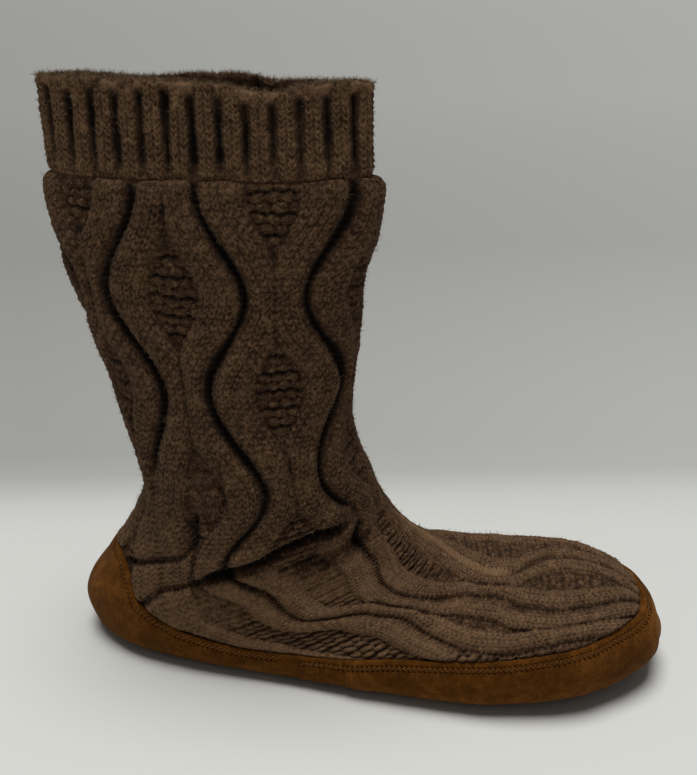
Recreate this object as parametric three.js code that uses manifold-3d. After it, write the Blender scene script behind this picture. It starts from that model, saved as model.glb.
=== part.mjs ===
// A slouching sock boot for the right foot, standing empty on its sole. A cable-knit leg
// and foot, knitted as one tube, takes a ribbed cuff inside its rolled top edge. A suede
// cup in two lapped pieces wraps the foot from below, and a padded footbed lies in it.
// Millimetres, +Z up, the toe on +X, the outer side of the foot on -Y, the tread on Z = 0.
import * as THREE from "three";
import { mergeVertices } from "three/addons/utils/BufferGeometryUtils.js";
import Module from "manifold-3d";

const wasm = await Module();
wasm.setup();

// Driving dimensions of the last and the leg
const LENGTH = 278;
const HEIGHT = 263;
const BALL_WIDTH = 98;
const HEEL_WIDTH = 81;
const VAMP_HEIGHT = 53;
const ANKLE_HEIGHT = 84;
const ANKLE_LEAN = 18;
const ANKLE_REACH = 102;
const ANKLE_WIDTH = 74;
const COLLAR_REACH = 140;
const COLLAR_WIDTH = 30;
const ARCH_RISE = 2;
const TOE_SPRING = 5;

// Walls, laps and clearances
const KNIT_WALL = 3;
const ROPE_RISE = 2.4;
const CUFF_HEIGHT = 38;
const CUFF_TUCK = 14;
const CUFF_WALL = 2.6;
const RIB_RISE = 1.6;
const RIB_COUNT = 28;
const TOP_FLARE = 3.6;
const SUEDE = 1.8;
const SUEDE_LAP = 12;
const SUEDE_JOINT = 137;
const HEEL_CUP = 50;
const SIDE_CUP = 17.5;
const TOE_CUP = 35.5;
const FOOTBED = 6.6;
const GAP = 0.3;

// The tread plane cuts the round undersides of the foot this far above their lowest line
const FLAT_CUT = 4;

// Roundness of a section's front or upper half, and of the leg's rear half: 2 is an ellipse
const FRONT_SQUARE = 2.15;
const LEG_SQUARE = 2.1;

// Where the widest line of a leg section lies, between its rear line and its front one
const LEG_BELLY = 0.5;

// Where the leg's knitting turns into the foot's, along the spine
const FOOT_START = 0.42;
const FOOT_FULL = 0.6;

// The leg, from the collar down to the ankle. high: share of the way from the ankle up to
// the collar, at the back and at the front. back: place of the rear line, as a share of the
// length. reach: share of the way from the ankle's reach to the collar's, front to back.
// slack: share of the way from the ankle's width to the collar's.
const LEG_ROWS = [
  { name: "collar", high: 1, highFront: 1, back: 0.019, reach: 1, slack: 1 },
  { name: "cuff_foot", high: 0.763, highFront: 0.736, back: 0.022, reach: 0.97, slack: 0.83 },
  { name: "calf_top", high: 0.633, highFront: 0.604, back: 0.0325, reach: 0.847, slack: 0.67 },
  { name: "calf", high: 0.463, highFront: 0.421, back: 0.0535, reach: 0.59, slack: 0.5 },
  { name: "calf_foot", high: 0.299, highFront: 0.252, back: 0.083, reach: 0.28, slack: 0.33 },
  { name: "shin_foot", high: 0.136, highFront: 0.113, back: 0.11, reach: 0.01, slack: 0.17 },
  { name: "ankle", high: 0, highFront: 0, back: 0.1295, reach: -0.05, slack: 0 },
];

// The foot, fanning round the heel and then running to the toe. low and top: places of the
// lower and upper line, as shares of the length. heelHigh: height of the lower line as a
// share of the ankle's height. toeHigh: the same as a share of the vamp's height. sunk:
// share of the flat cut by which it runs under the tread. climb: share of the way from the
// vamp up to the ankle's front. vamp: height of the upper line as a share of the vamp's.
// outer and inner: half widths, as shares of the named width. belly: where the widest line
// lies between low and top. square: how far the section's lower half leaves an ellipse.
const FOOT_ROWS = [
  { name: "heel_top", low: 0.1007, heelHigh: 0.762, toeHigh: 0, sunk: 0, top: 0.509,
    climb: 0.735, vamp: 1, width: "heel", outer: 0.469, inner: 0.469, belly: 0.5, square: 2.1 },
  { name: "heel_mid", low: 0.0432, heelHigh: 0.488, toeHigh: 0, sunk: 0, top: 0.5234,
    climb: 0.55, vamp: 1, width: "heel", outer: 0.481, inner: 0.481, belly: 0.5, square: 2.1 },
  { name: "heel_low", low: -0.0036, heelHigh: 0.232, toeHigh: 0, sunk: 0, top: 0.5414,
    climb: 0.39, vamp: 1, width: "heel", outer: 0.494, inner: 0.494, belly: 0.48, square: 2.15 },
  { name: "heel_edge", low: 0.0288, heelHigh: 0.006, toeHigh: 0, sunk: 0, top: 0.5612,
    climb: 0.245, vamp: 1, width: "heel", outer: 0.506, inner: 0.506, belly: 0.45, square: 2.3 },
  { name: "heel_seat", low: 0.1151, heelHigh: 0, toeHigh: 0, sunk: 0.75, top: 0.5827,
    climb: 0.14, vamp: 1, width: "heel", outer: 0.519, inner: 0.494, belly: 0.4, square: 2.6 },
  { name: "arch_back", low: 0.223, heelHigh: 0, toeHigh: 0, sunk: 1, top: 0.6043,
    climb: 0.08, vamp: 1, width: "heel", outer: 0.531, inner: 0.481, belly: 0.37, square: 2.9 },
  { name: "arch", low: 0.3381, heelHigh: 0, toeHigh: 0, sunk: 1, top: 0.6331,
    climb: 0.03, vamp: 1, width: "ball", outer: 0.459, inner: 0.398, belly: 0.36, square: 3 },
  { name: "waist", low: 0.4532, heelHigh: 0, toeHigh: 0, sunk: 1, top: 0.6691,
    climb: 0, vamp: 1, width: "ball", outer: 0.49, inner: 0.418, belly: 0.36, square: 3 },
  { name: "ball_back", low: 0.5683, heelHigh: 0, toeHigh: 0, sunk: 1, top: 0.7194,
    climb: 0, vamp: 0.981, width: "ball", outer: 0.51, inner: 0.449, belly: 0.36, square: 3 },
  { name: "ball", low: 0.6835, heelHigh: 0, toeHigh: 0, sunk: 1, top: 0.7734,
    climb: 0, vamp: 0.962, width: "ball", outer: 0.52, inner: 0.48, belly: 0.37, square: 3 },
  { name: "tread", low: 0.7806, heelHigh: 0, toeHigh: 0, sunk: 0.75, top: 0.8273,
    climb: 0, vamp: 0.943, width: "ball", outer: 0.49, inner: 0.49, belly: 0.39, square: 2.8 },
  { name: "toe_root", low: 0.8561, heelHigh: 0, toeHigh: 0, sunk: 0.5, top: 0.8723,
    climb: 0, vamp: 0.906, width: "ball", outer: 0.439, inner: 0.469, belly: 0.42, square: 2.5 },
  { name: "toe", low: 0.9137, heelHigh: 0, toeHigh: 0, sunk: 0, top: 0.9155,
    climb: 0, vamp: 0.821, width: "ball", outer: 0.347, inner: 0.418, belly: 0.44, square: 2.3 },
  { name: "toe_front", low: 0.9532, heelHigh: 0, toeHigh: 0.094, sunk: 0, top: 0.9514,
    climb: 0, vamp: 0.708, width: "ball", outer: 0.255, inner: 0.337, belly: 0.46, square: 2.2 },
  { name: "toe_end", low: 0.982, heelHigh: 0, toeHigh: 0.189, sunk: 0, top: 0.9766,
    climb: 0, vamp: 0.585, width: "ball", outer: 0.153, inner: 0.224, belly: 0.48, square: 2.1 },
  { name: "toe_tip", low: 0.9964, heelHigh: 0, toeHigh: 0.302, sunk: 0, top: 0.9939,
    climb: 0, vamp: 0.434, width: "ball", outer: 0.051, inner: 0.092, belly: 0.5, square: 2 },
];

// The cable lines between the eight knitted columns. around: the line's mean place on the
// leg, from the front over the outer side, as a share of the girth. foot: the same on the
// foot. Neighbouring lines sway to opposite sides.
const CABLE_LINES = [
  { name: "front_outer", around: 0.07, foot: 0.1 },
  { name: "side_outer", around: 0.222, foot: 0.185 },
  { name: "rear_outer", around: 0.365, foot: 0.3 },
  { name: "back_outer", around: 0.49, foot: 0.43 },
  { name: "back_inner", around: 0.605, foot: 0.57 },
  { name: "rear_inner", around: 0.72, foot: 0.7 },
  { name: "side_inner", around: 0.835, foot: 0.815 },
  { name: "front_inner", around: 0.95, foot: 0.975 },
];

// Where the cables cross or stand widest apart, from the collar to the toe, and how far
// the lines sway there, as a share of the girth
const CABLE_TURNS = [
  { along: 0.09, sway: 0.028 },
  { along: 0.19, sway: 0.033 },
  { along: 0.285, sway: 0.033 },
  { along: 0.39, sway: 0.03 },
  { along: 0.49, sway: 0.024 },
  { along: 0.655, sway: 0.018 },
  { along: 0.79, sway: 0.014 },
  { along: 0.93, sway: 0.01 },
];

// One column of the knit, read across from one cable line to the next. rise and riseWide:
// the height of the ropes over the grooves, as a share of the rope's rise, where the
// column is narrow and where it is wide and holds a sunk diamond of moss stitch.
const COLUMN_PROFILE = [
  { across: 0, rise: 0, riseWide: 0 },
  { across: 0.13, rise: 0.8, riseWide: 0.85 },
  { across: 0.3, rise: 1, riseWide: 1 },
  { across: 0.5, rise: 0.75, riseWide: 0.45 },
  { across: 0.7, rise: 1, riseWide: 1 },
  { across: 0.87, rise: 0.8, riseWide: 0.85 },
];

// Folds of the slack ankle, each a soft trough between two places. around and along: as
// above. deep and wide in shares of the knit's full thickness.
const FOLDS = [
  { name: "instep", around: [0.09, 0.25], along: [0.475, 0.49], deep: 1, wide: 1.6 },
  { name: "instep_inner", around: [0.91, 0.78], along: [0.475, 0.49], deep: 0.8, wide: 1.6 },
  { name: "ankle_side", around: [0.3, 0.33], along: [0.4, 0.455], deep: 0.6, wide: 1.4 },
  { name: "heel_side", around: [0.27, 0.4], along: [0.5, 0.478], deep: 0.45, wide: 1.2 },
];

// The suede's upper edge. along: share of the length. heel and toe: how far the edge has
// climbed from the side's height to the heel's or the toe's.
const SEAM_ROWS = [
  { along: -0.05, heel: 1, toe: 0 },
  { along: 0.09, heel: 1, toe: 0 },
  { along: 0.113, heel: 0.86, toe: 0 },
  { along: 0.138, heel: 0.47, toe: 0 },
  { along: 0.17, heel: 0.29, toe: 0 },
  { along: 0.22, heel: 0.13, toe: 0 },
  { along: 0.34, heel: 0, toe: 0 },
  { along: 0.47, heel: 0, toe: 0.08 },
  { along: 0.57, heel: 0, toe: 0.35 },
  { along: 0.7, heel: 0, toe: 0.58 },
  { along: 0.83, heel: 0, toe: 0.84 },
  { along: 0.93, heel: 0, toe: 0.98 },
  { along: 1.05, heel: 0, toe: 1 },
];

const ANKLE_FRONT = ANKLE_HEIGHT + ANKLE_LEAN;
const KNIT_THICK = KNIT_WALL + ROPE_RISE;

// Smooth curve through rows of numbers that never overshoots them
function smoothCurve(at, values) {
  const slopes = at.slice(1).map((x, i) => (values[i + 1] - values[i]) / (x - at[i]));
  const tangents = at.map((_, i) => {
    if (i === 0) return slopes[0];
    if (i === at.length - 1) return slopes[i - 1];
    const [a, b] = [slopes[i - 1], slopes[i]];
    return a * b <= 0 ? 0 : (2 * a * b) / (a + b);
  });
  return (x) => {
    const clamped = Math.min(Math.max(x, at[0]), at[at.length - 1]);
    let i = 0;
    while (i < at.length - 2 && clamped > at[i + 1]) i += 1;
    const step = at[i + 1] - at[i];
    const t = (clamped - at[i]) / step;
    const [t2, t3] = [t * t, t * t * t];
    return values[i] * (2 * t3 - 3 * t2 + 1) + values[i + 1] * (3 * t2 - 2 * t3)
      + step * (tangents[i] * (t3 - 2 * t2 + t) + tangents[i + 1] * (t3 - t2));
  };
}

const mix = THREE.MathUtils.lerp;
const ramp = THREE.MathUtils.smoothstep;

// Each row becomes one section: its rear or lower line, its front or upper line, its half
// widths and its roundness
const legSections = LEG_ROWS.map((row) => {
  const reach = mix(ANKLE_REACH, COLLAR_REACH, row.reach);
  const half = mix(ANKLE_WIDTH, COLLAR_WIDTH, row.slack) / 2;
  return {
    lowX: row.back * LENGTH,
    lowZ: mix(ANKLE_HEIGHT, HEIGHT, row.high),
    topX: row.back * LENGTH + reach,
    topZ: mix(ANKLE_FRONT, HEIGHT, row.highFront),
    outer: half,
    inner: half,
    belly: LEG_BELLY,
    square: LEG_SQUARE,
  };
});
const footSections = FOOT_ROWS.map((row) => {
  const width = row.width === "heel" ? HEEL_WIDTH : BALL_WIDTH;
  return {
    lowX: row.low * LENGTH,
    lowZ: row.heelHigh * ANKLE_HEIGHT + row.toeHigh * VAMP_HEIGHT - row.sunk * FLAT_CUT,
    topX: row.top * LENGTH,
    topZ: row.vamp * mix(VAMP_HEIGHT, ANKLE_FRONT, row.climb),
    outer: row.outer * width,
    inner: row.inner * width,
    belly: row.belly,
    square: row.square,
  };
});
const sections = [...legSections, ...footSections];

// The sections are spread from the collar, 0, to the toe, 1, by the mean of the distances
// that their two lines cover
const travel = [0];
sections.slice(1).forEach((section, i) => {
  const last = sections[i];
  const low = Math.hypot(section.lowX - last.lowX, section.lowZ - last.lowZ);
  const top = Math.hypot(section.topX - last.topX, section.topZ - last.topZ);
  travel.push(travel[i] + (low + top) / 2);
});
const SPINE = travel[travel.length - 1];
const places = travel.map((distance) => distance / SPINE);
const curves = Object.fromEntries(
  Object.keys(sections[0]).map((key) => [key, smoothCurve(places, sections.map((s) => s[key]))]),
);

// The height of the tread over the floor: flat under heel and ball, raised at the arch
// between these shares of the length, and sprung from the last one to the toe
const ARCH_BACK = [0.28, 0.42];
const ARCH_FRONT = [0.5, 0.64];
const SPRING_START = 0.86;
function treadHeight(x) {
  const along = x / LENGTH;
  const arch = ramp(along, ...ARCH_BACK) * (1 - ramp(along, ...ARCH_FRONT));
  const toe = Math.max(0, (along - SPRING_START) / (1 - SPRING_START));
  return ARCH_RISE * arch + TOE_SPRING * toe * toe;
}

// One closed section of the outer form, read evenly by girth: 0 at the front, then the
// outer side, the back or the tread, and the inner side
const RING_STEPS = 240;
function ring(along) {
  const at = Object.fromEntries(Object.entries(curves).map(([key, f]) => [key, f(along)]));
  const axis = new THREE.Vector2(at.topX - at.lowX, at.topZ - at.lowZ);
  const centre = new THREE.Vector2(at.lowX, at.lowZ).addScaledVector(axis, at.belly);
  const points = [];
  for (let i = 0; i <= RING_STEPS; i += 1) {
    const turn = (2 * Math.PI * i) / RING_STEPS;
    const [c, s] = [Math.cos(turn), Math.sin(turn)];
    const power = 2 / (c >= 0 ? FRONT_SQUARE : at.square);
    const reach = c >= 0 ? 1 - at.belly : -at.belly;
    const side = s >= 0 ? -at.outer : at.inner;
    const away = reach * Math.abs(c) ** power;
    const x = centre.x + axis.x * away;
    const z = centre.y + axis.y * away;
    points.push(new THREE.Vector3(x, side * Math.abs(s) ** power, Math.max(z, treadHeight(x))));
  }
  const lengths = [0];
  points.slice(1).forEach((p, i) => lengths.push(lengths[i] + p.distanceTo(points[i])));
  const girth = lengths[RING_STEPS];
  return (around) => {
    const target = (around - Math.floor(around)) * girth;
    let i = 0;
    while (i < RING_STEPS - 1 && lengths[i + 1] < target) i += 1;
    const t = (target - lengths[i]) / (lengths[i + 1] - lengths[i]);
    return points[i].clone().lerp(points[i + 1], t);
  };
}

// A closed skin that follows the outer form at a given depth under it. arounds(along)
// lists the places round each ring, deep(around, along, column) gives the depth, and over
// carries the open end on upwards, past the edge that it has to cut through.
const TURN_STEP = 0.004;
function skin({ rows, arounds, deep, over = 0 }) {
  const rings = rows.map((along) => {
    const before = ring(Math.max(along - TURN_STEP, 0));
    const here = ring(along);
    const after = ring(Math.min(along + TURN_STEP, 1));
    return arounds(along).map((around, column) => {
      const p = here(around);
      const acrossRing = here(around + TURN_STEP).sub(here(around - TURN_STEP));
      const alongForm = after(around).sub(before(around));
      const outward = acrossRing.cross(alongForm).normalize();
      return p.addScaledVector(outward, -deep(around, along, column));
    });
  });
  if (over > 0) {
    rings.unshift(rings[0].map((p) => p.clone().setZ(p.z + over)));
  }
  const count = rings[0].length;
  const centres = [rings[0], rings[rings.length - 1]].map((edge) => {
    const sum = edge.reduce((total, p) => total.add(p), new THREE.Vector3());
    return sum.divideScalar(count);
  });
  const points = [...rings.flat(), ...centres];
  const index = (i, j) => i * count + (j % count);
  const top = points.length - 2;
  const toe = points.length - 1;
  const faces = [];
  for (let j = 0; j < count; j += 1) {
    faces.push(top, index(0, j + 1), index(0, j));
    faces.push(toe, index(rings.length - 1, j), index(rings.length - 1, j + 1));
    for (let i = 0; i < rings.length - 1; i += 1) {
      faces.push(index(i, j), index(i, j + 1), index(i + 1, j + 1));
      faces.push(index(i, j), index(i + 1, j + 1), index(i + 1, j));
    }
  }
  const geometry = new THREE.BufferGeometry();
  const flat = points.flatMap((p) => [p.x, p.y, p.z]);
  geometry.setAttribute("position", new THREE.Float32BufferAttribute(flat, 3));
  geometry.setIndex(faces);
  return solidOf(geometry);
}

// Edges shorter than this are closed up where solids are joined or cut
const TOLERANCE = 0.002;
function solidOf(geometry) {
  const bare = geometry.clone();
  bare.deleteAttribute("normal");
  bare.deleteAttribute("uv");
  const merged = mergeVertices(bare, 1e-5);
  return new wasm.Manifold(new wasm.Mesh({
    numProp: 3,
    vertProperties: new Float32Array(merged.attributes.position.array),
    triVerts: new Uint32Array(merged.index.array),
    tolerance: TOLERANCE,
  }));
}

// A block as wide as the whole boot whose side outline is given in x and z
const ROOM = 40;
function sideBlock(outline) {
  const shape = new THREE.Shape(outline.map(([x, z]) => new THREE.Vector2(x, z)));
  const width = 2 * BALL_WIDTH + 2 * ROOM;
  const geometry = new THREE.ExtrudeGeometry(shape, { depth: width, bevelEnabled: false, steps: 1 });
  geometry.rotateX(Math.PI / 2);
  geometry.translate(0, width / 2, 0);
  return solidOf(geometry);
}

function evenly(from, to, steps) {
  return Array.from({ length: steps + 1 }, (_, i) => from + ((to - from) * i) / steps);
}

// The column of spine that a length in millimetres takes up
const share = (length) => length / SPINE;

// The rolled top edge of the cable knit stands this far down from the collar
const LEG_TOP = share(CUFF_HEIGHT);

// The flare of the cable knit over the cuff that it holds, fading down the calf
const FLARE_FADE = share(75);
function flare(along) {
  return TOP_FLARE * (1 - ramp(along, LEG_TOP, LEG_TOP + FLARE_FADE));
}

// The place of one cable line on a ring. Neighbours sway apart and together in turn.
const turnCurve = smoothCurve(CABLE_TURNS.map((row) => row.along), CABLE_TURNS.map((_, i) => i));
const swayCurve = smoothCurve(
  CABLE_TURNS.map((row) => row.along),
  CABLE_TURNS.map((row) => row.sway),
);
function cableLine(number, along) {
  const line = CABLE_LINES[number % CABLE_LINES.length];
  const lap = Math.floor(number / CABLE_LINES.length);
  const side = number % 2 === 0 ? -1 : 1;
  const sway = swayCurve(along) * Math.cos(Math.PI * turnCurve(along)) * side;
  return mix(line.around, line.foot, ramp(along, FOOT_START, FOOT_FULL)) + sway + lap;
}

function knitArounds(along) {
  return CABLE_LINES.flatMap((_, number) => {
    const start = cableLine(number, along);
    const end = cableLine(number + 1, along);
    return COLUMN_PROFILE.map((row) => mix(start, end, row.across));
  });
}

// How far the ropes stand over the grooves, as a share of their rise. The profile turns
// from narrow to wide between these two phases of the sway.
const NARROW_PHASE = -0.2;
const WIDE_PHASE = 0.9;
function ropeShare(column, along) {
  const row = COLUMN_PROFILE[column % COLUMN_PROFILE.length];
  const number = Math.floor(column / COLUMN_PROFILE.length);
  const side = number % 2 === 0 ? 1 : -1;
  const wide = ramp(side * Math.cos(Math.PI * turnCurve(along)), NARROW_PHASE, WIDE_PHASE);
  return mix(row.rise, row.riseWide, wide);
}

// The girth at the ankle, near enough to measure folds by
const FOLD_GIRTH = 1.6 * (ANKLE_REACH + ANKLE_WIDTH);
const FOLD_SHARE = 0.5;
function foldDepth(around, along) {
  return FOLDS.reduce((total, fold) => {
    const a = new THREE.Vector2(fold.around[0] * FOLD_GIRTH, fold.along[0] * SPINE);
    const b = new THREE.Vector2(fold.around[1] * FOLD_GIRTH, fold.along[1] * SPINE);
    const here = new THREE.Vector2((around - Math.floor(around)) * FOLD_GIRTH, along * SPINE);
    const line = b.clone().sub(a);
    const t = THREE.MathUtils.clamp(here.clone().sub(a).dot(line) / line.lengthSq(), 0, 1);
    const away = here.distanceTo(a.addScaledVector(line, t)) / (fold.wide * KNIT_THICK);
    return total + fold.deep * KNIT_THICK * FOLD_SHARE * Math.exp(-away * away);
  }, 0);
}

// The suede's upper edge as a side outline, moved out or in square to itself. It runs past
// the boot at both ends by a share of the length.
const OVERRUN = 0.05;
const SEAM_STEPS = 30;
const SLOPE_REACH = 0.5;
function seamOutline(shift) {
  const at = SEAM_ROWS.map((row) => row.along * LENGTH);
  const heights = SEAM_ROWS.map((row) =>
    SIDE_CUP + row.heel * (HEEL_CUP - SIDE_CUP) + row.toe * (TOE_CUP - SIDE_CUP));
  const height = smoothCurve(at, heights);
  return evenly(at[0], at[at.length - 1], SEAM_STEPS).map((x) => {
    const slope = (height(x + SLOPE_REACH) - height(x - SLOPE_REACH)) / (2 * SLOPE_REACH);
    const tilt = Math.hypot(1, slope);
    return [x - (shift * slope) / tilt, height(x) + shift / tilt];
  });
}

// The tread's own line from the start of the arch, raised by a height, as a side outline
const TREAD_START = 0.26;
const TREAD_STEPS = 16;
function treadOutline(rise) {
  return evenly(TREAD_START, 1, TREAD_STEPS).map((along) => {
    const x = along * LENGTH;
    return [x, treadHeight(x) + rise];
  });
}

const deepDown = -ROOM;
const underSeam = sideBlock([
  ...seamOutline(0),
  [LENGTH * (1 + OVERRUN), deepDown],
  [-LENGTH * OVERRUN, deepDown],
]);
const overSeam = sideBlock([
  ...seamOutline(GAP),
  [LENGTH * (1 + OVERRUN) + ROOM, TOE_CUP + GAP],
  [LENGTH + ROOM * 2, HEIGHT + ROOM],
  [-ROOM * 2, HEIGHT + ROOM],
  [-ROOM, HEEL_CUP + GAP],
]);
const footbedTop = SUEDE + GAP + FOOTBED;
const overFootbed = sideBlock([
  [-ROOM, footbedTop + GAP],
  ...treadOutline(footbedTop + GAP),
  [LENGTH + ROOM, footbedTop + GAP + TOE_SPRING],
  [LENGTH + ROOM, HEIGHT + ROOM],
  [-ROOM, HEIGHT + ROOM],
]);
const underFootbedTop = sideBlock([
  [-ROOM, footbedTop],
  ...treadOutline(footbedTop),
  [LENGTH + ROOM, footbedTop + TOE_SPRING],
  [LENGTH + ROOM, deepDown],
  [-ROOM, deepDown],
]);

// The foot's plain skins share one mesh, so that each lies evenly inside the next. Their
// rings stand closest round the heel and at the toe: from, to and steps.
const PLAIN_AROUND = 36;
const PLAIN_RINGS = [[0.4, 0.6, 9], [0.65, 0.89, 6], [0.915, 1, 4]];
const plainArounds = () => evenly(0, 1, PLAIN_AROUND).slice(0, -1);
const footRows = PLAIN_RINGS.flatMap((rings) => evenly(...rings));
function footSkin(depth) {
  return skin({ rows: footRows, arounds: plainArounds, deep: () => depth });
}
const suedeOutside = footSkin(0);
const suedeInside = footSkin(SUEDE);
const underSuede = footSkin(SUEDE + GAP);

// Suede cup: two pieces. The front one laps over the rear one, and in the lap each is
// pared to a little under half its thickness.
const cup = suedeOutside.subtract(suedeInside).intersect(underSeam);
const PARED = (SUEDE - GAP) / 2;
const lapOutside = footSkin(PARED);
const lapInside = footSkin(PARED + GAP);
function lengthBlock(from, to) {
  return sideBlock([[from, deepDown], [to, deepDown], [to, HEIGHT], [from, HEIGHT]]);
}
const lapEnd = SUEDE_JOINT + SUEDE_LAP;
const frontCup = cup
  .intersect(lengthBlock(SUEDE_JOINT, LENGTH + ROOM))
  .subtract(lengthBlock(SUEDE_JOINT - GAP, lapEnd).intersect(lapOutside));
const rearCup = cup
  .intersect(lengthBlock(-ROOM, lapEnd - GAP))
  .subtract(lengthBlock(SUEDE_JOINT - GAP, lapEnd).subtract(lapInside));

// Footbed: fills the floor of the cup, edge to edge, under the knit's hem
const footbed = underSuede.intersect(underFootbedTop);

// Knit: the outside carries the cables above the seam and slips inside the suede below it.
// Its first rings stand these distances below the rolled edge, and the others run from, to
// and in so many steps, closest over the slack ankle.
const EDGE_RINGS = [0, 1.2, 4, 11];
const CALF_RINGS = [0.41, 15];
const CABLE_RINGS = [[0.428, 0.55, 8], [0.574, 0.958, 14], [0.98, 1, 1]];
const edgeRows = EDGE_RINGS.map((distance) => LEG_TOP + share(distance));
const legRows = [
  ...edgeRows.slice(0, -1),
  ...evenly(edgeRows[edgeRows.length - 1], ...CALF_RINGS),
  ...CABLE_RINGS.flatMap((rings) => evenly(...rings)),
];
const ROLL = 3;
const ROLL_DEPTH = 2.6;
const HEM_OVERLAP = 1.5;
function rolledEdge(along) {
  const from = ((along - LEG_TOP) * SPINE) / ROLL;
  return from < 1 ? ROLL_DEPTH * (1 - Math.sqrt(1 - (1 - from) ** 2)) : 0;
}
const INSIDE_AROUND = 28;
const HOLLOW_RINGS = [[LEG_TOP, 0.4, 6], [0.44, 0.94, 11], [0.975, 1, 1]];
const cableOutside = skin({
  rows: legRows,
  arounds: knitArounds,
  deep: (around, along, column) =>
    ROPE_RISE * (1 - ropeShare(column, along)) + foldDepth(around, along) + rolledEdge(along)
    - flare(along),
});
function knitHollow(clearance) {
  return skin({
    rows: HOLLOW_RINGS.flatMap((rings) => evenly(...rings)),
    arounds: () => evenly(0, 1, INSIDE_AROUND).slice(0, -1),
    deep: (around, along) => KNIT_THICK + foldDepth(around, along) - flare(along) + clearance,
    over: ROOM,
  });
}
const hem = underSuede.intersect(sideBlock([
  ...seamOutline(GAP + HEM_OVERLAP),
  [LENGTH * (1 + OVERRUN), deepDown],
  [-LENGTH * OVERRUN, deepDown],
]));
const knit = cableOutside
  .intersect(overSeam)
  .add(hem)
  .subtract(knitHollow(0))
  .intersect(overFootbed);

// Cuff: a ribbed tube. It narrows at the rolled edge of the knit and its foot is tucked
// inside, where it follows the hollow of the leg.
const RIB_STEPS = 3;
const TAPER = [4, 1];
const LIP = 1;
const LIP_HEIGHT = 1.5;
const CUFF_BELT = 18;
const cuffFoot = LEG_TOP + share(CUFF_TUCK);
const tuckDepth = (along) => KNIT_THICK - flare(along);
const tuckedShare = (along) =>
  ramp(along, LEG_TOP - share(TAPER[0]), LEG_TOP - share(TAPER[1]));
const cuffOutside = skin({
  rows: [
    0,
    share(LIP_HEIGHT),
    share(CUFF_BELT),
    LEG_TOP - share(TAPER[0]),
    LEG_TOP - share(TAPER[1]),
    cuffFoot,
  ],
  arounds: () => evenly(0, 1, RIB_COUNT * RIB_STEPS).slice(0, -1),
  deep: (around, along, column) => {
    const groove = column % RIB_STEPS === 0 ? RIB_RISE : 0;
    const lip = along === 0 ? LIP : 0;
    return mix(groove + lip, tuckDepth(along), tuckedShare(along));
  },
});
const cuffInside = skin({
  rows: [0, share(CUFF_BELT), LEG_TOP, cuffFoot + share(ROOM)],
  arounds: () => evenly(0, 1, RIB_COUNT).slice(0, -1),
  deep: (around, along) => CUFF_WALL + mix(RIB_RISE, tuckDepth(along), tuckedShare(along)),
  over: ROOM,
});
const EDGE_CHECKS = 12;
const edgeOfLeg = ring(LEG_TOP);
const edgeHeight = Math.max(...evenly(0, 1, EDGE_CHECKS).map((around) => edgeOfLeg(around).z));
const overEdge = sideBlock([
  [-ROOM, edgeHeight + GAP],
  [LENGTH + ROOM, edgeHeight + GAP],
  [LENGTH + ROOM, HEIGHT + ROOM],
  [-ROOM, HEIGHT + ROOM],
]);
const cuff = cuffOutside.intersect(overEdge.add(knitHollow(GAP))).subtract(cuffInside);

const group = new THREE.Group();
function addPiece(name, solid, colour, roughness) {
  const mesh = solid.getMesh();
  const geometry = new THREE.BufferGeometry();
  geometry.setAttribute("position", new THREE.BufferAttribute(mesh.vertProperties, 3));
  geometry.setIndex(new THREE.BufferAttribute(mesh.triVerts, 1));
  geometry.computeVertexNormals();
  const material = new THREE.MeshStandardMaterial({ color: colour, roughness, metalness: 0 });
  const piece = new THREE.Mesh(geometry, material);
  piece.name = name;
  group.add(piece);
}
addPiece("upper_knit", knit, 0x6b5647, 0.95);
addPiece("cuff_rib", cuff, 0x66523f, 0.95);
addPiece("sole_forefoot", frontCup, 0x8a5a2b, 0.9);
addPiece("sole_heel", rearCup, 0x8a5a2b, 0.9);
addPiece("insole", footbed, 0xb9aa92, 0.9);

// The whole stands with the middle of its floor area at the origin
const extent = new THREE.Box3().setFromObject(group);
const middle = extent.getCenter(new THREE.Vector3());
group.position.set(-middle.x, -middle.y, -extent.min.z);

export default group;
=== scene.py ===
# The right boot of a slouching cable-knit pair, empty and standing on its suede sole.
# The script works in millimetres and turns them to metres where a mesh is written.
import math

import bmesh
import bpy
import numpy as np
from mathutils import Matrix, Vector


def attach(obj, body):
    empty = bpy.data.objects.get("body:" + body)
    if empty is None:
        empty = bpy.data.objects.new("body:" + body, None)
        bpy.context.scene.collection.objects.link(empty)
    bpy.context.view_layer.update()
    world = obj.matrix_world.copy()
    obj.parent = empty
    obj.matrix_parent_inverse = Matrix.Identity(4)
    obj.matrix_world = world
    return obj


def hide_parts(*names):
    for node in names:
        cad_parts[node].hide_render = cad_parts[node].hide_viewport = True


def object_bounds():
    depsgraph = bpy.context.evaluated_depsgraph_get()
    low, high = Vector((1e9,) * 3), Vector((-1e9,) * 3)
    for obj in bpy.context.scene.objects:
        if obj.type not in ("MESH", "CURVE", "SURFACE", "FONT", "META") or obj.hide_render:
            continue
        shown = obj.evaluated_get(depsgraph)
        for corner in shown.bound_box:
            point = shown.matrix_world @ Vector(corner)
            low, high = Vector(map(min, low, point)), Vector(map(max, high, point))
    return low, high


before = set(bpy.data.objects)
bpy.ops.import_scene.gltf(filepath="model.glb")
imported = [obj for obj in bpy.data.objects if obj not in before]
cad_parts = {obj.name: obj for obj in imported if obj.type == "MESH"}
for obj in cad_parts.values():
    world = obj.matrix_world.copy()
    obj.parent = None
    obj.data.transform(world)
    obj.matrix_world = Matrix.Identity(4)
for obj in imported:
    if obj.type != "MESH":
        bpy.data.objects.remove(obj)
cad_low, cad_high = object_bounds()
MM = 0.001


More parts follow.
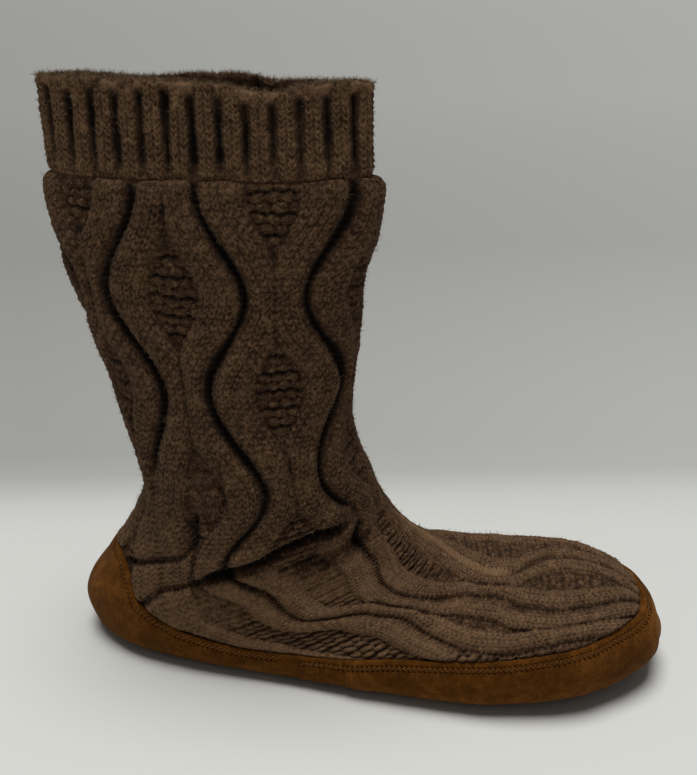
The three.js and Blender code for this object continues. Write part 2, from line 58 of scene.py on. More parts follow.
# The last and the leg: one rounded form that the knit, the suede and the footbed were all
# shaped over. It is read by around, 0 at the front and then over the outer side, and by
# along, 0 at the collar and 1 at the toe.
LENGTH = 278.0
HEIGHT = 263.0
BALL_WIDTH = 98.0
HEEL_WIDTH = 81.0
VAMP_HEIGHT = 53.0
ANKLE_HEIGHT = 84.0
ANKLE_FRONT = ANKLE_HEIGHT + 18.0
ANKLE_REACH = 102.0
ANKLE_WIDTH = 74.0
COLLAR_REACH = 140.0
COLLAR_WIDTH = 30.0
ARCH_RISE = 2.0
TOE_SPRING = 5.0
TOE_LIFT = 0.86
FLAT_CUT = 4.0
FRONT_SQUARE = 2.15

# Columns: height at the back and at the front, place of the rear line, reach, slack
LEG_ROWS = [
    (1, 1, 0.019, 1, 1),
    (0.763, 0.736, 0.022, 0.97, 0.83),
    (0.633, 0.604, 0.0325, 0.847, 0.67),
    (0.463, 0.421, 0.0535, 0.59, 0.5),
    (0.299, 0.252, 0.083, 0.28, 0.33),
    (0.136, 0.113, 0.11, 0.01, 0.17),
    (0, 0, 0.1295, -0.05, 0),
]

# Columns: lower place, heel height, toe height, sunk, upper place, climb, vamp, width,
# outer and inner half widths, belly, squareness
FOOT_ROWS = [
    (0.1007, 0.762, 0, 0, 0.509, 0.735, 1, HEEL_WIDTH, 0.469, 0.469, 0.5, 2.1),
    (0.0432, 0.488, 0, 0, 0.5234, 0.55, 1, HEEL_WIDTH, 0.481, 0.481, 0.5, 2.1),
    (-0.0036, 0.232, 0, 0, 0.5414, 0.39, 1, HEEL_WIDTH, 0.494, 0.494, 0.48, 2.15),
    (0.0288, 0.006, 0, 0, 0.5612, 0.245, 1, HEEL_WIDTH, 0.506, 0.506, 0.45, 2.3),
    (0.1151, 0, 0, 0.75, 0.5827, 0.14, 1, HEEL_WIDTH, 0.519, 0.494, 0.4, 2.6),
    (0.223, 0, 0, 1, 0.6043, 0.08, 1, HEEL_WIDTH, 0.531, 0.481, 0.37, 2.9),
    (0.3381, 0, 0, 1, 0.6331, 0.03, 1, BALL_WIDTH, 0.459, 0.398, 0.36, 3),
    (0.4532, 0, 0, 1, 0.6691, 0, 1, BALL_WIDTH, 0.49, 0.418, 0.36, 3),
    (0.5683, 0, 0, 1, 0.7194, 0, 0.981, BALL_WIDTH, 0.51, 0.449, 0.36, 3),
    (0.6835, 0, 0, 1, 0.7734, 0, 0.962, BALL_WIDTH, 0.52, 0.48, 0.37, 3),
    (0.7806, 0, 0, 0.75, 0.8273, 0, 0.943, BALL_WIDTH, 0.49, 0.49, 0.39, 2.8),
    (0.8561, 0, 0, 0.5, 0.8723, 0, 0.906, BALL_WIDTH, 0.439, 0.469, 0.42, 2.5),
    (0.9137, 0, 0, 0, 0.9155, 0, 0.821, BALL_WIDTH, 0.347, 0.418, 0.44, 2.3),
    (0.9532, 0, 0.094, 0, 0.9514, 0, 0.708, BALL_WIDTH, 0.255, 0.337, 0.46, 2.2),
    (0.982, 0, 0.189, 0, 0.9766, 0, 0.585, BALL_WIDTH, 0.153, 0.224, 0.48, 2.1),
    (0.9964, 0, 0.302, 0, 0.9939, 0, 0.434, BALL_WIDTH, 0.051, 0.092, 0.5, 2),
]


def mix(a, b, part):
    return a + (b - a) * part


def ramp(x, start, end):
    t = np.clip((x - start) / (end - start), 0, 1)
    return t * t * (3 - 2 * t)


def smooth_curve(at, values):
    """A curve through rows of numbers that never overshoots them"""
    at, values = np.array(at, float), np.array(values, float)
    slopes = np.diff(values) / np.diff(at)
    before, after = slopes[:-1], slopes[1:]
    same_way = before * after > 0
    total = np.where(same_way, before + after, 1)
    inner = np.where(same_way, 2 * before * after / total, 0)
    tangents = np.concatenate([slopes[:1], inner, slopes[-1:]])

    def curve(x):
        x = np.clip(x, at[0], at[-1])
        i = np.clip(np.searchsorted(at, x, side="right") - 1, 0, len(at) - 2)
        step = at[i + 1] - at[i]
        t = (x - at[i]) / step
        t2, t3 = t * t, t * t * t
        bend = tangents[i] * (t3 - 2 * t2 + t) + tangents[i + 1] * (t3 - t2)
        return values[i] * (2 * t3 - 3 * t2 + 1) + values[i + 1] * (3 * t2 - 2 * t3) + step * bend

    return curve


# Columns: lower x and z, upper x and z, outer and inner half widths, belly, squareness
sections = []
for high, high_front, back, reach, slack in LEG_ROWS:
    half = mix(ANKLE_WIDTH, COLLAR_WIDTH, slack) / 2
    sections.append((
        back * LENGTH, mix(ANKLE_HEIGHT, HEIGHT, high),
        back * LENGTH + mix(ANKLE_REACH, COLLAR_REACH, reach), mix(ANKLE_FRONT, HEIGHT, high_front),
        half, half, 0.5, 2.1,
    ))
for low, heel, toe, sunk, top, climb, vamp, width, outer, inner, belly, square in FOOT_ROWS:
    sections.append((
        low * LENGTH, heel * ANKLE_HEIGHT + toe * VAMP_HEIGHT - sunk * FLAT_CUT,
        top * LENGTH, vamp * mix(VAMP_HEIGHT, ANKLE_FRONT, climb),
        outer * width, inner * width, belly, square,
    ))
sections = np.array(sections)
moves = np.diff(sections, axis=0)
steps = (np.hypot(moves[:, 0], moves[:, 1]) + np.hypot(moves[:, 2], moves[:, 3])) / 2
travel = np.concatenate([[0], np.cumsum(steps)])
SPINE = travel[-1]
section_curves = [smooth_curve(travel / SPINE, column) for column in sections.T]


def tread_height(x):
    """The tread over the floor: flat under heel and ball, raised at the arch and the toe"""
    place = x / LENGTH
    arch = ramp(place, 0.28, 0.42) * (1 - ramp(place, 0.5, 0.64))
    lift = np.maximum(0, (place - TOE_LIFT) / (1 - TOE_LIFT))
    return ARCH_RISE * arch + TOE_SPRING * lift ** 2


TABLE_ALONG = 840
TABLE_AROUND = 720
alongs = np.linspace(0, 1, TABLE_ALONG + 1)
turns = np.linspace(0, 2 * np.pi, TABLE_AROUND + 1)
form = np.zeros((TABLE_ALONG + 1, TABLE_AROUND + 1, 3))
girths = np.zeros(TABLE_ALONG + 1)
front_half = np.cos(turns) >= 0
outer_half = np.sin(turns) >= 0
for row, place in enumerate(alongs):
    low_x, low_z, top_x, top_z, outer, inner, belly, square = [f(place) for f in section_curves]
    power = 2 / np.where(front_half, FRONT_SQUARE, square)
    away = belly + np.where(front_half, 1 - belly, -belly) * np.abs(np.cos(turns)) ** power
    x = mix(low_x, top_x, away)
    y = np.where(outer_half, -outer, inner) * np.abs(np.sin(turns)) ** power
    z = np.maximum(mix(low_z, top_z, away), tread_height(x))
    points = np.stack([x, y, z], axis=1)
    lengths = np.concatenate([[0], np.cumsum(np.linalg.norm(np.diff(points, axis=0), axis=1))])
    girths[row] = lengths[-1]
    even = np.linspace(0, lengths[-1], TABLE_AROUND + 1)
    form[row] = np.stack([np.interp(even, lengths, points[:, i]) for i in range(3)], axis=1)
across_ring = np.roll(form[:, :-1], -1, axis=1) - np.roll(form[:, :-1], 1, axis=1)
across_ring = np.concatenate([across_ring, across_ring[:, :1]], axis=1)
outward = np.cross(across_ring, np.gradient(form, axis=0))
outward /= np.maximum(np.linalg.norm(outward, axis=2, keepdims=True), 1e-9)

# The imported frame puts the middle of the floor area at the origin
form_middle = (form.min(axis=(0, 1)) + form.max(axis=(0, 1))) / 2
frame_shift = (np.array(cad_low) + cad_high) / 2 / MM - form_middle
frame_shift[2] = 0


def read_table(table, around, along):
    column = (around % 1) * TABLE_AROUND
    row = np.clip(along, 0, 1) * TABLE_ALONG
    i = np.minimum(row.astype(int), TABLE_ALONG - 1)
    j = np.minimum(column.astype(int), TABLE_AROUND - 1)
    down, across = row - i, column - j
    if table.ndim == 3:
        down, across = down[..., None], across[..., None]
    upper = mix(table[i, j], table[i, j + 1], across)
    lower = mix(table[i + 1, j], table[i + 1, j + 1], across)
    return mix(upper, lower, down)


def on_form(around, along, depth=0.0):
    """The point at a depth under the form, in the form's own millimetres"""
    around, along, depth = np.broadcast_arrays(around, along, depth)
    return read_table(form, around, along) - read_table(outward, around, along) * depth[..., None]


def girth_at(along):
    return np.interp(along, alongs, girths)


def share(length):
    """The share of the spine that a length in millimetres takes up"""
    return length / SPINE


def speckle(points, size, seed):
    """Soft random values from -1 to 1, one for each cell of that size, blended in between"""
    cell = points / size
    low = np.floor(cell).astype(np.int64)
    t = cell - low
    t = t * t * (3 - 2 * t)
    total = np.zeros(points.shape[:-1])
    for corner in range(8):
        step = np.array([corner & 1, corner >> 1 & 1, corner >> 2 & 1])
        at = (low + step) * np.array([73856093, 19349663, 83492791])
        mixed = (at.sum(axis=-1) + seed * 2654435761) & 0xFFFFFFFF
        mixed = (mixed ^ mixed >> 15) * 2246822519 & 0xFFFFFFFF
        mixed = (mixed ^ mixed >> 13) * 3266489917 & 0xFFFFFFFF
        weight = np.prod(np.where(step == 1, t, 1 - t), axis=-1)
        total += weight * ((mixed ^ mixed >> 16) / 0xFFFFFFFF * 2 - 1)
    return total


def unevenness(points, layers):
    """The sum of layers of speckle, each a row of its height, its cells' size and its seed"""
    return sum(height * speckle(points, size, seed) for height, size, seed in layers)


# The suede's upper edge in side view, and how far each place of the form lies above it,
# measured over the surface
HEEL_CUP = 50.0
SIDE_CUP = 17.5
TOE_CUP = 35.5

# Columns: share of the length, climb towards the heel's height, climb towards the toe's
SEAM_ROWS = [
    (-0.05, 1, 0), (0.09, 1, 0), (0.113, 0.86, 0), (0.138, 0.47, 0), (0.17, 0.29, 0),
    (0.22, 0.13, 0), (0.34, 0, 0), (0.47, 0, 0.08), (0.57, 0, 0.35), (0.7, 0, 0.58),
    (0.83, 0, 0.84), (0.93, 0, 0.98), (1.05, 0, 1),
]
seam_height = smooth_curve(
    [row[0] * LENGTH for row in SEAM_ROWS],
    [SIDE_CUP + row[1] * (HEEL_CUP - SIDE_CUP) + row[2] * (TOE_CUP - SIDE_CUP) for row in SEAM_ROWS],
)
seam_slope = seam_height(form[..., 0] + 0.5) - seam_height(form[..., 0] - 0.5)
seam_rise = np.stack([-seam_slope, np.zeros_like(seam_slope), np.ones_like(seam_slope)], axis=-1)
into_surface = (seam_rise * outward).sum(axis=-1, keepdims=True)
steepness = np.maximum(np.linalg.norm(seam_rise - into_surface * outward, axis=-1), 0.3)
over_seam = (form[..., 2] - seam_height(form[..., 0])) / steepness
over_tread = form[..., 2] - tread_height(form[..., 0])


def turning_place(near, far, before, halvings=22):
    """Where before stops being true on the way from near to far, found by halving"""
    for _ in range(halvings):
        middle = (near + far) / 2
        still = before(middle)
        near, far = np.where(still, middle, near), np.where(still, far, middle)
    return (near + far) / 2


def crossing(table, level, along, side):
    """Where a ring first falls to a level, going down the outer side, 1, or the inner, -1"""
    return turning_place(np.zeros_like(along), np.full_like(along, 0.5),
                         lambda around: read_table(table, side * around, along) > level)


def crossing_along(table, level, around, start, end):
    """Where one line of the form falls to a level, between two places along it"""
    around = np.float64(around)
    return float(turning_place(start, end, lambda along: read_table(table, around, along) > level))


# The cable knit: the leg and the foot, knitted in one piece of felted wool in eight columns
# of paired ropes. Its top edge is rolled over the cuff, and its hem lies inside the suede.
KNIT_THICK = 5.4
SUEDE_THICK = 1.8
GAP = 0.3
FOOTBED_TOP = 8.7
CUFF_HEIGHT = 38.0
LEG_TOP = share(CUFF_HEIGHT)
ROLL_RADIUS = 4.4
TOP_WAVE = 1.1
PLAN = np.array([1, 1, 0])

# The leg's top: how far it flares, eases and is stretched flat, and how far down each reaches
TOP_FLARE = 3.6
FLARE_REACH = 0.17
TOP_EASE = 0.9
EASE_REACH = share(14.0)
TOP_PULL = 1.6
PULL_REACH = 0.07

# Two ropes lie side by side between one groove and the next. Where they stand apart, moss
# stitch fills the diamond between them, and where they touch, a shallow crease.
GROOVE_DEEP = 3.4
GROOVE_FLAT = 0.5
GROOVE_SCALLOP = 0.15
ROPE_WIDTH = 15.0
FOOT_ROPE = 10.0
ROPE_SPREAD = 0.3
ROPE_ROUND = 5.5
ROPE_SWELL = 1.3
CENTRE_DROP = 1.3
MOSS_DROP = 2.2
STITCH_WIDTH = 3.4
STITCH_HEIGHT = 2.8
STITCH_LEAN = 1.2
MOSS_WIDTH = 5.9
MOSS_BAR = 8.4
MOSS_GAP = 1.2
MOSS_BUMP = (3.3, 2.5)
FELTED_FADE = 0.8
FACE_DEPTH = 0.3

# How hand knitting wanders from its lines, and how uneven felting left it. Columns: height
# and size in millimetres, seed.
ROPE_WANDER = [(0.7, 15.0, 3), (0.25, 3.5, 4)]
KNIT_FELT = [(0.34, 6.0, 7), (0.2, 2.8, 9), (0.14, 1.5, 8)]

# Shade runs from 1, painted shade near black in a hollow, to -1, where painted highlight makes the wool
# fully pale
GROOVE_SHADE = 1.15
CENTRE_SHADE = 0.5
DIAMOND_SHADE = 0.12
CREASE_SHADE = 0.26
STITCH_SHADE = 1.1
STITCH_PAINTED_HIGHLIGHT = 0.3
WOOL_BLOOM = 0.28
# Painted light on low knit that faces sideways, and on low knit towards the toe
SIDE_PAINTED_LIGHT = 0.3
FOOT_PAINTED_LIGHT = 0.09
FELT_PAINTED_SHADING = 0.15
HEM_SHADE = 0.4

# Columns: mean place of the cable line on the leg, and on the foot
CABLE_LINES = [
    (0.07, 0.1), (0.222, 0.185), (0.365, 0.3), (0.49, 0.43),
    (0.605, 0.57), (0.72, 0.7), (0.835, 0.815), (0.95, 0.975),
]
LINE_COUNT = len(CABLE_LINES)

# Columns: where the ropes cross or stand widest apart, and how far the lines sway there
CABLE_TURNS = [
    (0.09, 0.028), (0.19, 0.033), (0.285, 0.033), (0.39, 0.03),
    (0.49, 0.024), (0.655, 0.018), (0.79, 0.014), (0.93, 0.01),
]
turn_places, sways = zip(*CABLE_TURNS)
turn_number = smooth_curve(turn_places, range(len(CABLE_TURNS)))
sway = smooth_curve(turn_places, sways)

# The lines as they run over the foot. Columns, for each line: place along, place around
FOOT_LINES = {
    0: [(0.5, 0.07), (0.515, 0.064), (0.543, 0.065), (0.606, 0.097), (0.652, 0.114), (0.698, 0.117),
        (0.744, 0.104), (0.785, 0.104), (0.813, 0.118), (0.858, 0.118), (0.902, 0.103), (0.932, 0.075),
        (0.96, 0.04)],
    1: [(0.5, 0.205), (0.537, 0.185), (0.568, 0.194), (0.59, 0.2), (0.608, 0.188), (0.638, 0.16),
        (0.676, 0.16), (0.717, 0.181), (0.75, 0.197), (0.78, 0.206), (0.811, 0.206), (0.852, 0.19),
        (0.892, 0.175), (0.918, 0.168), (0.96, 0.16)],
    6: [(0.5, 0.83), (0.6, 0.85), (0.66, 0.875), (0.73, 0.89), (0.8, 0.875), (0.87, 0.855), (0.93, 0.87)],
    7: [(0.5, 0.965), (0.531, 0.985), (0.6, 0.982), (0.66, 1.0), (0.72, 1.032), (0.76, 1.05),
        (0.802, 1.042), (0.819, 1.017), (0.855, 0.979), (0.906, 0.956), (0.93, 0.948)],
}
foot_line_curves = {line: smooth_curve(*zip(*places)) for line, places in FOOT_LINES.items()}

# Where the slack knit pulls a groove flat. Columns: the line's number, and the places along
# it where the groove starts to fade, is gone, starts to come back and is whole again.
GROOVE_FADES = [
    (0, 0.43, 0.45, 0.478, 0.49), (2, 0.345, 0.375, 0.53, 0.56), (3, 0.36, 0.4, 0.9, 0.95),
    (7, 0.5, 0.54, 0.77, 0.81),
]
GROOVE_FADE = 0.85
FOOT_GROOVE_FADE = 0.55

# Moss stitch that wear has felted almost smooth. Columns: place around and along, reach
# around and along.
FELTED_PLACES = [(0.3, 0.385, 0.04, 0.055), (0.13, 0.56, 0.05, 0.045), (0.27, 0.53, 0.05, 0.04)]

# Creases of the slack knit. Columns: depth in millimetres, below zero for a ridge, width,
# and the places that it runs through, around and along.
CREASES = [
    (5.4, 4.4, [(0.085, 0.474), (0.116, 0.474), (0.153, 0.478), (0.182, 0.486), (0.217, 0.49),
                (0.249, 0.489)]),
    (-2.2, 6.5, [(0.1, 0.45), (0.15, 0.455), (0.2, 0.466), (0.235, 0.47)]),
    (3.0, 6.5, [(0.06, 0.512), (0.098, 0.52), (0.13, 0.512)]),
    (2.6, 2.6, [(0.226, 0.497), (0.269, 0.495), (0.313, 0.495), (0.334, 0.507), (0.35, 0.512)]),
    (3.0, 2.8, [(0.315, 0.408), (0.3, 0.44), (0.305, 0.455), (0.324, 0.457), (0.36, 0.46),
                (0.41, 0.464)]),
    (-1.6, 6.0, [(0.405, 0.363), (0.398, 0.39), (0.37, 0.415), (0.342, 0.432)]),
    (1.6, 1.8, [(0.252, 0.352), (0.262, 0.38), (0.252, 0.41)]),
    (2.6, 4.5, [(0.915, 0.474), (0.88, 0.476), (0.84, 0.484), (0.78, 0.49)]),
    (2.0, 3.6, [(0.7, 0.41), (0.69, 0.44), (0.66, 0.458), (0.6, 0.464)]),
]
CREASE_FALL = 1.4
CREASE_GIRTH = girth_at(0.4)


def cable_line(number, along):
    """Where a groove's line runs, lines past the eighth being the first ones over again"""
    line = number % LINE_COUNT
    leg, foot = CABLE_LINES[line]
    side = -1 if line % 2 == 0 else 1
    swing = sway(along) * np.cos(np.pi * turn_number(along)) * side
    place = mix(leg, foot, ramp(along, 0.42, 0.6)) + swing
    if line in FOOT_LINES:
        place = mix(place, foot_line_curves[line](along), ramp(along, 0.48, 0.535))
    return place + number // LINE_COUNT


def groove_strength(number, along):
    strength = 1 - FOOT_GROOVE_FADE * ramp(along, 0.5, 0.58)
    for line, start, gone, back, whole in GROOVE_FADES:
        if line == number:
            strength = strength - GROOVE_FADE * (ramp(along, start, gone) - ramp(along, back, whole))
    return strength


def crease_depth(around, along):
    total = np.zeros(np.broadcast(around, along).shape)
    for deep, wide, places in CREASES:
        nearest = np.full(total.shape, 1e9)
        for (u0, v0), (u1, v1) in zip(places, places[1:]):
            line = np.array([(u1 - u0) * CREASE_GIRTH, (v1 - v0) * SPINE])
            x, y = (around % 1 - u0) * CREASE_GIRTH, (along - v0) * SPINE
            t = np.clip((x * line[0] + y * line[1]) / (line @ line), 0, 1)
            nearest = np.minimum(nearest, np.hypot(x - t * line[0], y - t * line[1]))
        total += deep * np.exp(-((nearest / wide) ** 2) * CREASE_FALL)
    return total


def felted(around, along):
    total = 0
    for u, v, wide, tall in FELTED_PLACES:
        total = total + np.exp(-(((around % 1 - u) / wide) ** 2) - ((along - v) / tall) ** 2)
    return np.minimum(total, 1)


def rounded(distance, radius):
    """How a rope rises from its edge, as a quarter circle, from 0 to 1"""
    return np.sqrt(1 - (1 - np.clip(distance / radius, 0, 1)) ** 2)


def near_top(along, reach):
    return 1 - ramp(along, LEG_TOP, LEG_TOP + reach)


def flattened(around, along):
    """How much less the leg's top stands out at the back, where it is stretched"""
    return TOP_PULL * (0.6 - 0.4 * np.cos(2 * np.pi * around)) * near_top(along, PULL_REACH)


def hollow_depth(along):
    """How deep the leg's inner skin lies under the form, a little less at the rolled edge"""
    return KNIT_THICK - TOP_FLARE * near_top(along, FLARE_REACH) - TOP_EASE * near_top(along, EASE_REACH)


def stitch_bumps(wale, course, points, lean):
    """Relief of plain knitting: wale and course count its columns and rows of stitches"""
    fleck = 0.75 + 0.35 * speckle(points, 5.0, 11)
    course = course + 0.45 * speckle(points, 8.0, 12)
    from_middle = np.abs(wale - np.floor(wale) - 0.5)
    legs = np.cos(2 * np.pi * (course + lean * from_middle))
    between = np.exp(-(((0.5 - from_middle) / 0.19) ** 2))
    core = np.exp(-((from_middle / 0.14) ** 2))
    return fleck * (0.38 * legs * (1 - 0.5 * between) - 0.6 * between - 0.45 * core)


def stitch_shade(bumps):
    """Painted shade in the hollows between the stitches, and a painted highlight on their tops"""
    return STITCH_SHADE * np.maximum(-bumps, 0) - WOOL_BLOOM - STITCH_PAINTED_HIGHLIGHT * np.maximum(bumps, 0)


def across_cables(around, along):
    """The number of the groove before each place, the width from it to the next one, and how
    far across that width the place lies, in millimetres"""
    lines = [cable_line(number, along) for number in range(LINE_COUNT + 1)]
    turned = around % 1
    turned = np.where(turned < lines[0], turned + 1, turned)
    number = np.sum([turned >= line for line in lines[1:-1]], axis=0)
    start, end = np.choose(number, lines[:-1]), np.choose(number, lines[1:])
    nudge = 0.004
    leans = [np.abs(cable_line(line, along + nudge) - cable_line(line, along - nudge)) / (2 * nudge)
             for line in range(LINE_COUNT + 1)]
    lean = (np.choose(number, leans[:-1]) + np.choose(number, leans[1:])) / 2
    girth = girth_at(along)
    upright = 1 / np.sqrt(1 + (lean * girth / SPINE) ** 2)
    return number, (end - start) * girth * upright, (turned - start) * girth * upright


def moss_stitches(points, along, from_middle):
    """The round bumps of moss stitch, set like bricks, and the gaps between its rows"""
    bars = along * SPINE / MOSS_BAR + 0.16 * speckle(points, 11.0, 13)
    half_bar = np.floor(bars * 2)
    across = from_middle / MOSS_WIDTH + 0.5 * (half_bar % 2) + 0.3 * speckle(points, 8.0, 14)
    across = (across - np.round(across)) * MOSS_WIDTH
    down = (bars * 2 - half_bar - 0.5) * MOSS_BAR / 2
    bump = np.sqrt(np.clip(1 - (across / MOSS_BUMP[0]) ** 2 - (down / MOSS_BUMP[1]) ** 2, 0, 1))
    in_bar = np.abs(bars - np.floor(bars) - 0.5)
    return bump, np.exp(-(((0.5 - in_bar) * MOSS_BAR / MOSS_GAP) ** 2))


def knit_relief(around, along):
    """The knit's depth under the form, in millimetres, and its painted shade and highlight"""
    around, along = np.broadcast_arrays(around, along)
    points = on_form(around, along)
    on_foot = ramp(along, 0.46, 0.56)

    # The nearest groove, and how far from it each place lies
    number, width, across = across_cables(around, along)
    nearest = np.where(across < width - across, number, number + 1) % LINE_COUNT
    strength = np.choose(nearest, [groove_strength(line, along) for line in range(LINE_COUNT)])
    strength = strength * (1 + 0.18 * speckle(points, 38.0, 5))
    course = along * SPINE / STITCH_HEIGHT
    edge = np.maximum(np.minimum(across, width - across) + unevenness(points, ROPE_WANDER), 0)
    scallop = np.cos(2 * np.pi * (course + 0.3 * speckle(points, 9.0, 15)))
    edge = np.maximum(edge + GROOVE_SCALLOP * scallop * (1 - ramp(edge, 1.5, 4.5)), 0)

    # The rope that rises from it, and the diamond or crease on the rope's far side
    half = width / 2
    rope = mix(ROPE_WIDTH, FOOT_ROPE, on_foot)
    rope = np.minimum(half, rope + ROPE_SPREAD * np.maximum(half - rope, 0))
    diamond = ramp(half - rope, 0.5, 4.5)
    rise_out = rounded(edge - GROOVE_FLAT, ROPE_ROUND)
    rise_in = rounded(rope - edge, mix(2.2, 4.2, diamond))
    bare = (number == 1) * ramp(along, 0.75, 0.78) * (1 - ramp(along, 0.87, 0.9))
    swell = np.sin(np.pi * np.clip(edge / rope, 0, 1)) * (1 - bare) * (1 - 0.4 * on_foot)
    drop = mix(CENTRE_DROP, MOSS_DROP, diamond) * ramp(edge, 1.0, 6.0) * (1 - rise_in)

    # The stitches: moss in the diamonds, plain on the ropes, a purl edge beside the groove
    bump, gap = moss_stitches(points, along, across - half)
    in_moss = ramp(edge - rope, -0.8, 1.4) * diamond * (1 - FELTED_FADE * felted(around, along))
    in_moss = np.maximum(in_moss, bare * ramp(edge, 0.8, 2.0))
    plain = stitch_bumps(edge / STITCH_WIDTH, course, points, STITCH_LEAN) * (1 - 0.22 * on_foot)
    plain = plain * (1 - np.clip(strength * 2, 0, 1) * (1 - ramp(edge, 1.2, 3.6)))
    purl = 0.28 * np.cos(2 * np.pi * course) * (1 - ramp(edge, 0.8, 2.4))
    bumps = mix(0.75 * plain + purl, 1.9 * bump - 0.9 - 0.8 * gap, in_moss)
    felt = unevenness(points, KNIT_FELT)

    crease = crease_depth(around, along)
    lumps = mix(0.3, 0.85, on_foot) * speckle(points, 15.0, 62)
    depth = GROOVE_DEEP * strength * (1 - rise_out) - ROPE_SWELL * swell + drop - lumps
    depth = depth - bumps - felt + crease - TOP_FLARE * near_top(along, FLARE_REACH)
    depth = depth + flattened(around, along) + FACE_DEPTH

    # Painted shade: dark in the grooves and their purl edges, the centre lines and diamonds, the gaps
    # between moss rows, the creases and between stitches; painted highlight on the stitches' tops and
    # where the felt stands proud
    shade = GROOVE_SHADE * strength * (1 - ramp(edge, 0.7, 3.6)) - 0.3 * purl
    shade = shade + mix(CENTRE_SHADE, DIAMOND_SHADE, diamond) * (1 - rise_in) * ramp(edge, 1, 5)
    shade = shade + in_moss * (0.42 * gap + 0.45 * (1 - bump) - 0.16)
    shade = shade + CREASE_SHADE * np.maximum(crease - 0.5, 0)
    shade = shade + (1 - in_moss) * stitch_shade(plain) - FELT_PAINTED_SHADING * felt
    # Painted light: low knit is made paler where it faces sideways, and low knit towards the toe too
    sideways = 1 - read_table(outward, around, along)[..., 2] ** 2
    low = 1 - ramp(points[..., 2], 45, 85)
    shade = shade - low * (SIDE_PAINTED_LIGHT * sideways + FOOT_PAINTED_LIGHT * ramp(points[..., 0], 60, 120))

    # Under the suede's edge the knit is pressed flat, and painted shade darkens it as it goes under
    over = read_table(over_seam, around, along)
    pressed = mix(SUEDE_THICK + GAP + 0.1, depth, ramp(over, -0.9, 1.6))
    shade = shade + HEM_SHADE * (1 - ramp(over, 0, 2.2))
    return np.where(over > 3, depth, pressed), np.clip(shade, -1, 1)


WELD = 0.01 * MM
# Painted shade for skins that have none of their own; it darkens the knit's inner skins
PLAIN_SHADE = 0.3


def grid_skin(mesh, points, turned=False, shade=None):
    """Adds a grid of points to a bmesh as one skin, and returns its vertices"""
    layer = mesh.verts.layers.float.get("shade") or mesh.verts.layers.float.new("shade")
    rows, columns = points.shape[:2]
    made = bmesh.ops.create_grid(mesh, x_segments=columns - 1, y_segments=rows - 1, size=1)["verts"]
    places = ((points + frame_shift) * MM).reshape(-1, 3)
    shades = np.full(len(made), PLAIN_SHADE) if shade is None else shade.ravel()
    for vertex, place, value in zip(made, places, shades):
        vertex.co = place
        vertex[layer] = value
    if turned:
        faces = {face for vertex in made for face in vertex.link_faces}
        bmesh.ops.reverse_faces(mesh, faces=list(faces))
    bmesh.ops.remove_doubles(mesh, verts=made, dist=WELD)
    return [vertex for vertex in made if vertex.is_valid]


def rims_of(skin):
    """The open edges of a skin, as loops, the highest first"""
    left = {edge for vertex in skin for edge in vertex.link_edges if edge.is_boundary}
    loops = []
    while left:
        loop, fringe = [], [left.pop()]
        while fringe:
            edge = fringe.pop()
            loop.append(edge)
            for vertex in edge.verts:
                touching = [other for other in vertex.link_edges if other in left]
                left.difference_update(touching)
                fringe.extend(touching)
        loops.append(loop)
    return sorted(loops, key=lambda loop: -max(edge.verts[0].co.z for edge in loop))


def wall_mesh(outer, inner, shade=None):
    """A closed wall from two grids of points, the inner one coarser. Columns or rows that
    meet are welded, and each open rim is bridged across the wall with a crisp edge."""
    mesh = bmesh.new()
    outer_rims = rims_of(grid_skin(mesh, outer, shade=shade))
    inner_rims = rims_of(grid_skin(mesh, inner, turned=True))
    for outer_rim, inner_rim in zip(outer_rims, inner_rims):
        for edge in outer_rim + inner_rim:
            edge.smooth = False
        bmesh.ops.bridge_loops(mesh, edges=outer_rim + inner_rim)
    return mesh


def mesh_data(name, mesh):
    data = bpy.data.meshes.new(name)
    mesh.to_mesh(data)
    mesh.free()
    return data


def finish_piece(data, material, replaced=None):
    """Makes a mesh a smooth-shaded piece of the boot, riding on its one body"""
    data.polygons.foreach_set("use_smooth", [True] * len(data.polygons))
    data.materials.append(material)
    piece = bpy.data.objects.new(data.name, data)
    bpy.context.scene.collection.objects.link(piece)
    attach(piece, "root")
    if replaced:
        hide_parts(replaced)
    return piece


def strands(name, paths, radii, sides, material):
    """Many small closed strands as one joined mesh. paths holds one row of points for each
    strand, and radii the strand's radius at each point."""
    count, steps = paths.shape[:2]
    heading = np.gradient(paths, axis=1)
    heading /= np.linalg.norm(heading, axis=2, keepdims=True)
    side = np.cross(heading, heading[:, :1] + np.array([0.31, 0.17, 0.93]))
    side /= np.linalg.norm(side, axis=2, keepdims=True)
    other = np.cross(heading, side)
    turn = (2 * np.pi * np.arange(sides) / sides)[:, None]
    spoke = np.cos(turn) * side[:, :, None] + np.sin(turn) * other[:, :, None]
    rings = paths[:, :, None] + spoke * np.asarray(radii)[:, None, None]
    corners = ((rings.reshape(-1, 3) + frame_shift) * MM).tolist()
    near = np.arange(sides)
    far = (near + 1) % sides
    band = np.stack([near, far, far + sides, near + sides], axis=1)
    walls = np.concatenate([band + step * sides for step in range(steps - 1)])
    caps = np.stack([near[::-1], near + (steps - 1) * sides])
    first = (np.arange(count) * steps * sides)[:, None, None]
    faces = (first + walls).reshape(-1, 4).tolist() + (first + caps).reshape(-1, sides).tolist()
    data = bpy.data.meshes.new(name)
    data.from_pydata(corners, [], faces)
    finish_piece(data, material)


def linear(code):
    """The linear colour of an sRGB hex value"""
    parts = [int(code[i:i + 2], 16) / 255 for i in (1, 3, 5)]
    return [p / 12.92 if p <= 0.04045 else ((p + 0.055) / 1.055) ** 2.4 for p in parts] + [1]


